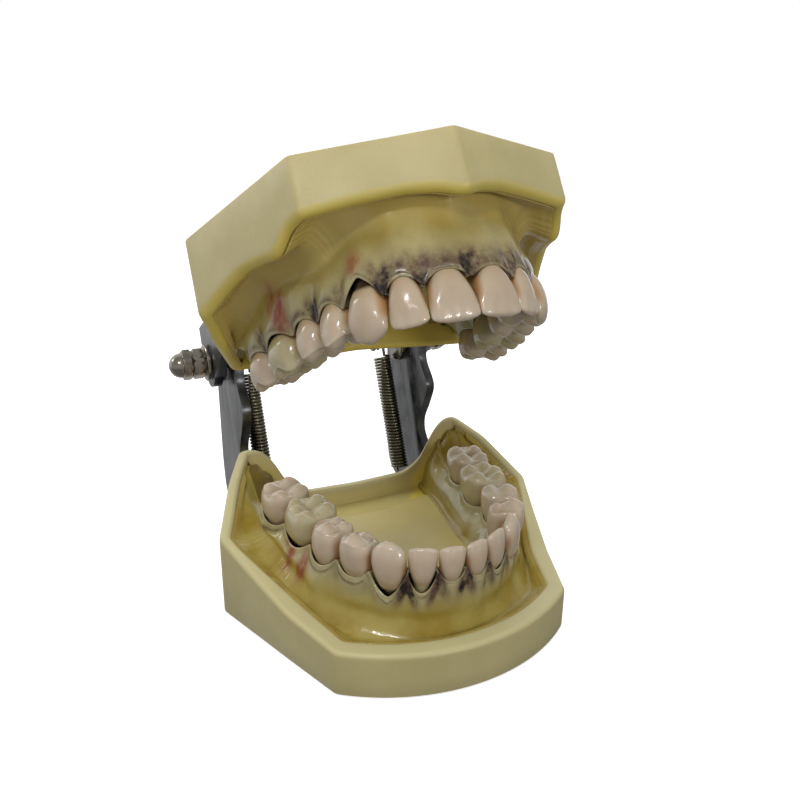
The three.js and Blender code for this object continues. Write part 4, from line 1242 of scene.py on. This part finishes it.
def hexagonal(limit):
    """A radius for each angle that follows a hexagon, cut round by a chamfer's radius."""
    def radius(angle):
        from_flat = (angle + math.pi / 6) % (math.pi / 3) - math.pi / 6
        flat = HEX_RADIUS * math.cos(math.pi / 6) / np.cos(from_flat)
        return np.minimum(flat, limit)
    return radius


def screw_hole(x, plate_y, z, swung):
    """What is drilled from a cross plate for its screw."""
    rings = [ring_about(1, (x, plate_y + dy, z), SCREW_HOLE_RADIUS, 24) for dy in (-6, 6)]
    return skinned("hole", rings, swung)


def rectangle(near, low, far, high):
    """An outline's corners from two of them."""
    return [(near, low), (far, low), (far, high), (near, high)]


def bracket(name, outline, inner_x, plate_y, heights, bores, screw_z, swung=False):
    """A cross plate with a side plate at each end, folded from one sheet, bored and drilled."""
    outer_x = inner_x + SHEET
    low, high = heights
    piece = side_plate(rectangle(plate_y, low, plate_y + SHEET, high), -outer_x, outer_x, swung)
    ends = [sorted((sign * inner_x, sign * outer_x)) for sign in SIDES.values()]
    combined(piece, [side_plate(outline, *reach, swung) for reach in ends], "UNION")
    cutters = []
    for side, sign in SIDES.items():
        for centre, radius in bores:
            cutters.append(turned("bore", side, centre, [(10, radius), (50, radius)], 32, swung))
        cutters.append(screw_hole(sign * BRACKET_SCREW_X, plate_y, screw_z, swung))
    combined(piece, cutters, "DIFFERENCE")
    piece.name = f"{name}_sheet"
    rounded(piece, 0.3, 32)
    stand_for(piece, name, MATERIALS["sheet"])


def lower_bracket():
    """Two posts with wavy front edges and the plate between them."""
    low, high = LOWER_PLATE_HEIGHTS
    rear_y, wave_top = 89.5, (69.2, 45.5)
    outline = [(LOWER_PLATE_Y, low), (80, low)]
    outline += smooth_line([(80, low), (86.8, 5.5), (89.2, 12.5), (rear_y, 21)])[1:]
    outline += [(rear_y, HINGE_Z)] + arc(HINGE_CENTRE, 8.0, 8, 90, 9)
    outline += smooth_line([(80.5, 53), (73.6, 52.2), (70.2, 49.6), wave_top])[:-1]
    outline += smooth_line([
        wave_top, (68.4, 42), (64.2, 36.8), (66.2, 31), (69, 25.4), (67.4, 20.4), (LOWER_PLATE_Y, high),
    ])
    bores = [(HINGE_CENTRE, BORE_RADIUS), (LOWER_STUD, RIVET_BORE_RADIUS)]
    bracket(
        "lower_bracket", outline, POST_INNER_X, LOWER_PLATE_Y, LOWER_PLATE_HEIGHTS, bores, LOWER_SCREW_Z,
    )


def upper_bracket():
    """Two arms that end in hinge ears with a stop corner, and the plate between them."""
    low, high = UPPER_PLATE_HEIGHTS
    outline = [(UPPER_PLATE_Y, low), (HINGE_Y - 5, HINGE_Z - EAR_RADIUS * 0.8)]
    outline += arc(HINGE_CENTRE, EAR_RADIUS, -126, 0, 16)
    outline += [
        (HINGE_Y + 4.6, HINGE_Z + 10.6), (HINGE_Y - 1, HINGE_Z + 10.2), (67, 50.6),
        (UPPER_PLATE_Y, high),
    ]
    bracket(
        "upper_bracket", outline, ARM_INNER_X, UPPER_PLATE_Y, UPPER_PLATE_HEIGHTS,
        [(HINGE_CENTRE, BORE_RADIUS)], UPPER_SCREW_Z, True,
    )


def bracket_screw(jaw, side, plate_y, z):
    """A pan-head screw along Y, its cross recess cut in a domed head."""
    seat = plate_y + SHEET + SEAT_GAP
    swung = jaw is UPPER
    x = SIDES[side] * BRACKET_SCREW_X
    profile = [
        (-8, 0.9), (-7.2, 1.3), (-0.4, 1.4), (0, 1.6), (0, 2.9), (0.5, 3.0), (1.0, 2.8), (1.5, 2.1),
        (1.75, 1.1), (1.8, 0.1),
    ]
    rings = [ring_about(1, (x, seat + dy, z), radius, 36) for dy, radius in profile]
    piece = skinned(f"{jaw.name}_bracket_screw_head_{side}", rings, swung)
    bars = []
    for wide, tall in ((0.28, 1.35), (1.35, 0.28)):
        outline = rectangle(seat + 0.9, z - tall, seat + 3, z + tall)
        bars.append(side_plate(outline, x - wide, x + wide, swung))
    combined(piece, bars, "DIFFERENCE")
    shade(piece, 34)
    stand_for(piece, f"{jaw.name}_bracket_screw_{side}", MATERIALS["bright"])


def hinge_set(side):
    """Crank bolt, washers, lock nut and acorn nut of one side, from the inside outwards."""
    bolt = turned(f"hinge_bolt_crank_{side}", side, HINGE_CENTRE, [
        (21.9, 5.1), (22.1, 5.4), (22.3, 5.5), (23.1, 5.5), (23.4, 5.35), (23.5, 5.0), (23.5, 2.0),
        (36.6, 2.0), (36.8, 1.8),
    ], 56)
    stud = turned("stud", side, UPPER_STUD, [*STUD_HEAD, (22.4, 1.2)], 32)
    combined(bolt, [stud], "UNION")
    shade(bolt, 34)
    stand_for(bolt, f"hinge_bolt_{side}", MATERIALS["bright"])
    for kind, start, radius in (("friction_washer", 26.3, 5.2), ("outer_washer", 29.9, 4.6)):
        end, blunt = start + WASHER_THICKNESS, WASHER_CHAMFER
        washer = turned(f"{kind}_ring_{side}", side, HINGE_CENTRE, [
            (start, 2.3), (start, radius - blunt), (start + blunt, radius), (end - blunt, radius),
            (end, radius - blunt), (end, 2.3),
        ], 56)
        stand_for(washer, f"{kind}_{side}", MATERIALS["bright"])
    nut = turned(f"lock_nut_hex_{side}", side, HINGE_CENTRE, [
        (31.0, 2.4), (31.0, hexagonal(3.45)), (31.35, hexagonal(4.0)), (33.45, hexagonal(4.0)),
        (33.8, hexagonal(3.45)), (33.8, 2.4),
    ], 72)
    stand_for(nut, f"lock_nut_{side}", MATERIALS["bright"])
    dome = [(36.5 + 3.0 * math.sin(a), 3.1 * math.cos(a)) for a in np.linspace(0.12, 1.53, 10)]
    acorn = turned(f"acorn_nut_dome_{side}", side, HINGE_CENTRE, [
        (34.1, 2.4), (34.1, hexagonal(3.45)), (34.4, hexagonal(4.0)), (36.0, hexagonal(4.0)),
        (36.3, hexagonal(3.5)), (36.45, 3.1), *dome,
    ], 72)
    stand_for(acorn, f"acorn_nut_{side}", MATERIALS["bright"])


def lower_stud(side):
    """A rivet through the foot of the post, which the spring's lower hook holds."""
    foot = [(26.3, 1.2), (26.3, 2.25), (26.8, 2.2), (27.2, 1.7), (27.5, 0.8), (27.5, 0.1)]
    piece = turned(f"lower_spring_stud_rivet_{side}", side, LOWER_STUD, [*STUD_HEAD, *foot], 32)
    stand_for(piece, f"lower_spring_stud_{side}", MATERIALS["bright"])


SPRING = {
    "x": 19.2, "radius": 2.4, "wire": 0.4, "hook_radius": 2.05, "hook_length": 3.5, "pitch": 0.86,
    "bend_from": 0.72,  # the share of its length where the real spring starts to follow the upper jaw
}


def spring_path(length):
    """The wire's middle line along Z: lower hook, close coils, upper hook."""
    coil_radius = SPRING["radius"] - SPRING["wire"]
    hook = [
        (0, SPRING["hook_radius"] * math.cos(a), SPRING["hook_radius"] * math.sin(a))
        for a in np.radians(np.linspace(-215, 12, 20))
    ]
    start, end = SPRING["hook_length"], length - SPRING["hook_length"]
    turns = round((end - start) / SPRING["pitch"]) + 0.5
    coils = []
    for share in np.linspace(0, 1, int(turns * 18)):
        angle = 2 * math.pi * turns * share
        across, out = coil_radius * math.sin(angle), coil_radius * math.cos(angle)
        coils.append((across, out, lerp(start, end, share)))
    upper = [(0, -y, length - z) for _, y, z in reversed(hook)]
    return np.array(hook + coils + upper)


def swept(path, radius, sides):
    """Rings of a round wire along a path, turned as little as possible from one to the next."""
    ahead = np.gradient(path, axis=0)
    ahead /= np.linalg.norm(ahead, axis=1, keepdims=True)
    side = np.cross(ahead[0], (1.0, 0, 0))
    angle = round_angles(sides)[:, None]
    rings = []
    for centre, forward in zip(path, ahead):
        side = side - forward * np.dot(side, forward)
        side /= np.linalg.norm(side)
        other = np.cross(forward, side)
        rings.append(centre + radius * (np.cos(angle) * side + np.sin(angle) * other))
    return np.array(rings)


def spring_piece(side):
    """A close-coiled tension spring, drawn straight between its studs; on the real model the last coils
    before the crank bend with the jaw.
    """
    bottom, top = np.array(LOWER_STUD), np.array(UPPER_STUD)
    length = np.linalg.norm(top - bottom)
    rise = (top - bottom) / length
    rings = swept(spring_path(length), SPRING["wire"], 8)
    across, up = rings[..., 1], rings[..., 2]
    y = bottom[0] + rise[0] * up + rise[1] * across
    z = bottom[1] + rise[1] * up - rise[0] * across
    solid = np.stack([rings[..., 0] + SIDES[side] * SPRING["x"], y, z], axis=-1)
    piece = skinned(f"spring_coils_{side}", solid)
    piece.data.materials.append(MATERIALS["wire"])
    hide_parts(f"spring_{side}")
    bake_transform(piece)


# ---------------------------------------------------------------- stage, light and camera

LIT_MIDDLE = Vector((0, 0, 0.05))


def stage():
    """A pale table, just below the model's underside."""
    reach = 3000
    corners = [(x, y, -0.2) for x, y in rectangle(-reach, -reach, reach, reach)]
    floor = make_object("floor", corners, [(0, 1, 2, 3)])
    surface = Surface("lit_table", Roughness=0.9, Emission_Color=(1, 1, 1, 1), Emission_Strength=0.5)
    surface.colour(surface.mix(surface.noise(40, 2), srgb(236, 236, 236), srgb(240, 240, 240)))
    floor.data.materials.append(surface.material)
    floor.visible_diffuse = False  # it sends no more light up than a dark table would
    floor.visible_glossy = False


def lamp_towards(name, kind, power, towards, mirrored):
    """A light that shines in a direction. Unless mirrored, gloss doesn't show it."""
    light = bpy.data.lights.new(name, kind)
    light.energy = power
    lamp = bpy.data.objects.new(name, light)
    bpy.context.scene.collection.objects.link(lamp)
    lamp.rotation_mode = "QUATERNION"
    lamp.rotation_quaternion = towards.to_track_quat("-Z", "Y")
    lamp.visible_glossy = mirrored
    return lamp


def area_light(name, place, size, power, shape=1.0, mirrored=True):
    """A soft light aimed at the middle of the model."""
    lamp = lamp_towards(name, "AREA", power, LIT_MIDDLE - Vector(place), mirrored)
    lamp.location = place
    lamp.data.shape = "RECTANGLE"
    lamp.data.size = size
    lamp.data.size_y = size * shape


def studio_world():
    """A pale room with a bright wall behind the model."""
    world = bpy.data.worlds.new("studio")
    world.use_nodes = True
    tree = world.node_tree
    split = tree.nodes.new("ShaderNodeSeparateXYZ")
    tree.links.new(tree.nodes.new("ShaderNodeTexCoord").outputs["Generated"], split.inputs["Vector"])
    wall = map_range(tree, split.outputs["Y"], (0.25, 0.6), (0.38, 1.0), "SMOOTHSTEP")
    below = map_range(tree, split.outputs["Z"], (-0.3, -0.1), (0.5, 1.0))
    dimmed = tree.nodes.new("ShaderNodeMath")
    dimmed.operation = "MULTIPLY"
    tree.links.new(wall, dimmed.inputs[0])
    tree.links.new(below, dimmed.inputs[1])
    tree.links.new(dimmed.outputs["Value"], tree.nodes["Background"].inputs["Strength"])
    tree.nodes["Background"].inputs["Color"].default_value = (1, 1, 1, 1)
    bpy.context.scene.world = world


def broad_sun(name, towards, power, spread):
    """Even light from one side of the room; gloss doesn't show it."""
    lamp = lamp_towards(name, "SUN", power, Vector(towards), False)
    lamp.data.angle = math.radians(spread)


def lighting():
    """Soft light all round, with a few bright panes for the gloss to show."""
    studio_world()
    broad_sun("ceiling", (0.1, 0.02, -1), 0.4, 70)
    broad_sun("fill", (0.3, 1, 0.6), 0.12, 100)
    area_light("softbox", (-0.08, -0.13, 0.36), 0.2, 0.34, mirrored=False)
    area_light("window", (-0.55, -0.2, 0.22), 0.3, 0.2, 1.4, mirrored=False)
    area_light("far_ceiling", (0.05, 0.4, 0.5), 0.4, 1.4, mirrored=False)
    area_light("back_window", (-0.42, 0.36, 0.3), 0.1, 0.22, 1.3)
    area_light("skylight", (-0.3, -0.5, 0.47), 0.13, 0.1, 0.4)
    for across in (-0.05, 0, 0.05):
        area_light("front_pane", (0.1 + across, -0.55, 0.2 + across * 0.2), 0.02, 0.2, 5.0)
        area_light("upper_pane", (-0.3 + across, -0.35, 0.5), 0.022, 0.22, 3.0)


def camera():
    """The three-quarter view from the model's right, slightly above."""
    azimuth, elevation, roll = math.radians(-25.68), math.radians(19.54), math.radians(0.6)
    distance = 0.16891
    target = Vector((-0.00007, 0.00641, 0.04686))
    level = math.cos(elevation)
    back = Vector((math.sin(azimuth) * level, -math.cos(azimuth) * level, math.sin(elevation)))
    right = (-back).cross(Vector((0, 0, 1))).normalized()
    up = right.cross(-back)
    across = right * math.cos(roll) + up * math.sin(roll)
    over = up * math.cos(roll) - right * math.sin(roll)
    data = bpy.data.cameras.new("camera")
    data.lens = 35.6
    data.clip_start = 0.01
    lens = bpy.data.objects.new("camera", data)
    bpy.context.scene.collection.objects.link(lens)
    turn = Matrix((across, over, back)).transposed().to_4x4()
    lens.matrix_world = Matrix.Translation(target + back * distance) @ turn
    bpy.context.scene.camera = lens


def build():
    camera()
    lighting()
    stage()
    for jaw, outline, rim, flat_z, floor_z in (
        (LOWER, LOWER_OUTLINE, LOWER_RIM, LOWER_FOOT_Z, TONGUE_FLOOR_Z),
        (UPPER, UPPER_OUTLINE, UPPER_RIM, UPPER_TOP_Z, PALATE_Z),
    ):
        base_piece(jaw, outline, rim, flat_z, floor_z)
        gum_piece(jaw, outline, rim, floor_z)
        for side in SIDES:
            for index in range(len(TEETH)):
                tooth_piece(jaw, side, index)
                tooth_screw(jaw, side, index, flat_z)
    lower_bracket()
    upper_bracket()
    for side in SIDES:
        bracket_screw(LOWER, side, LOWER_PLATE_Y, LOWER_SCREW_Z)
        bracket_screw(UPPER, side, UPPER_PLATE_Y, UPPER_SCREW_Z)
        hinge_set(side)
        lower_stud(side)
        spring_piece(side)
    bpy.context.scene.view_settings.view_transform = "Standard"


build()
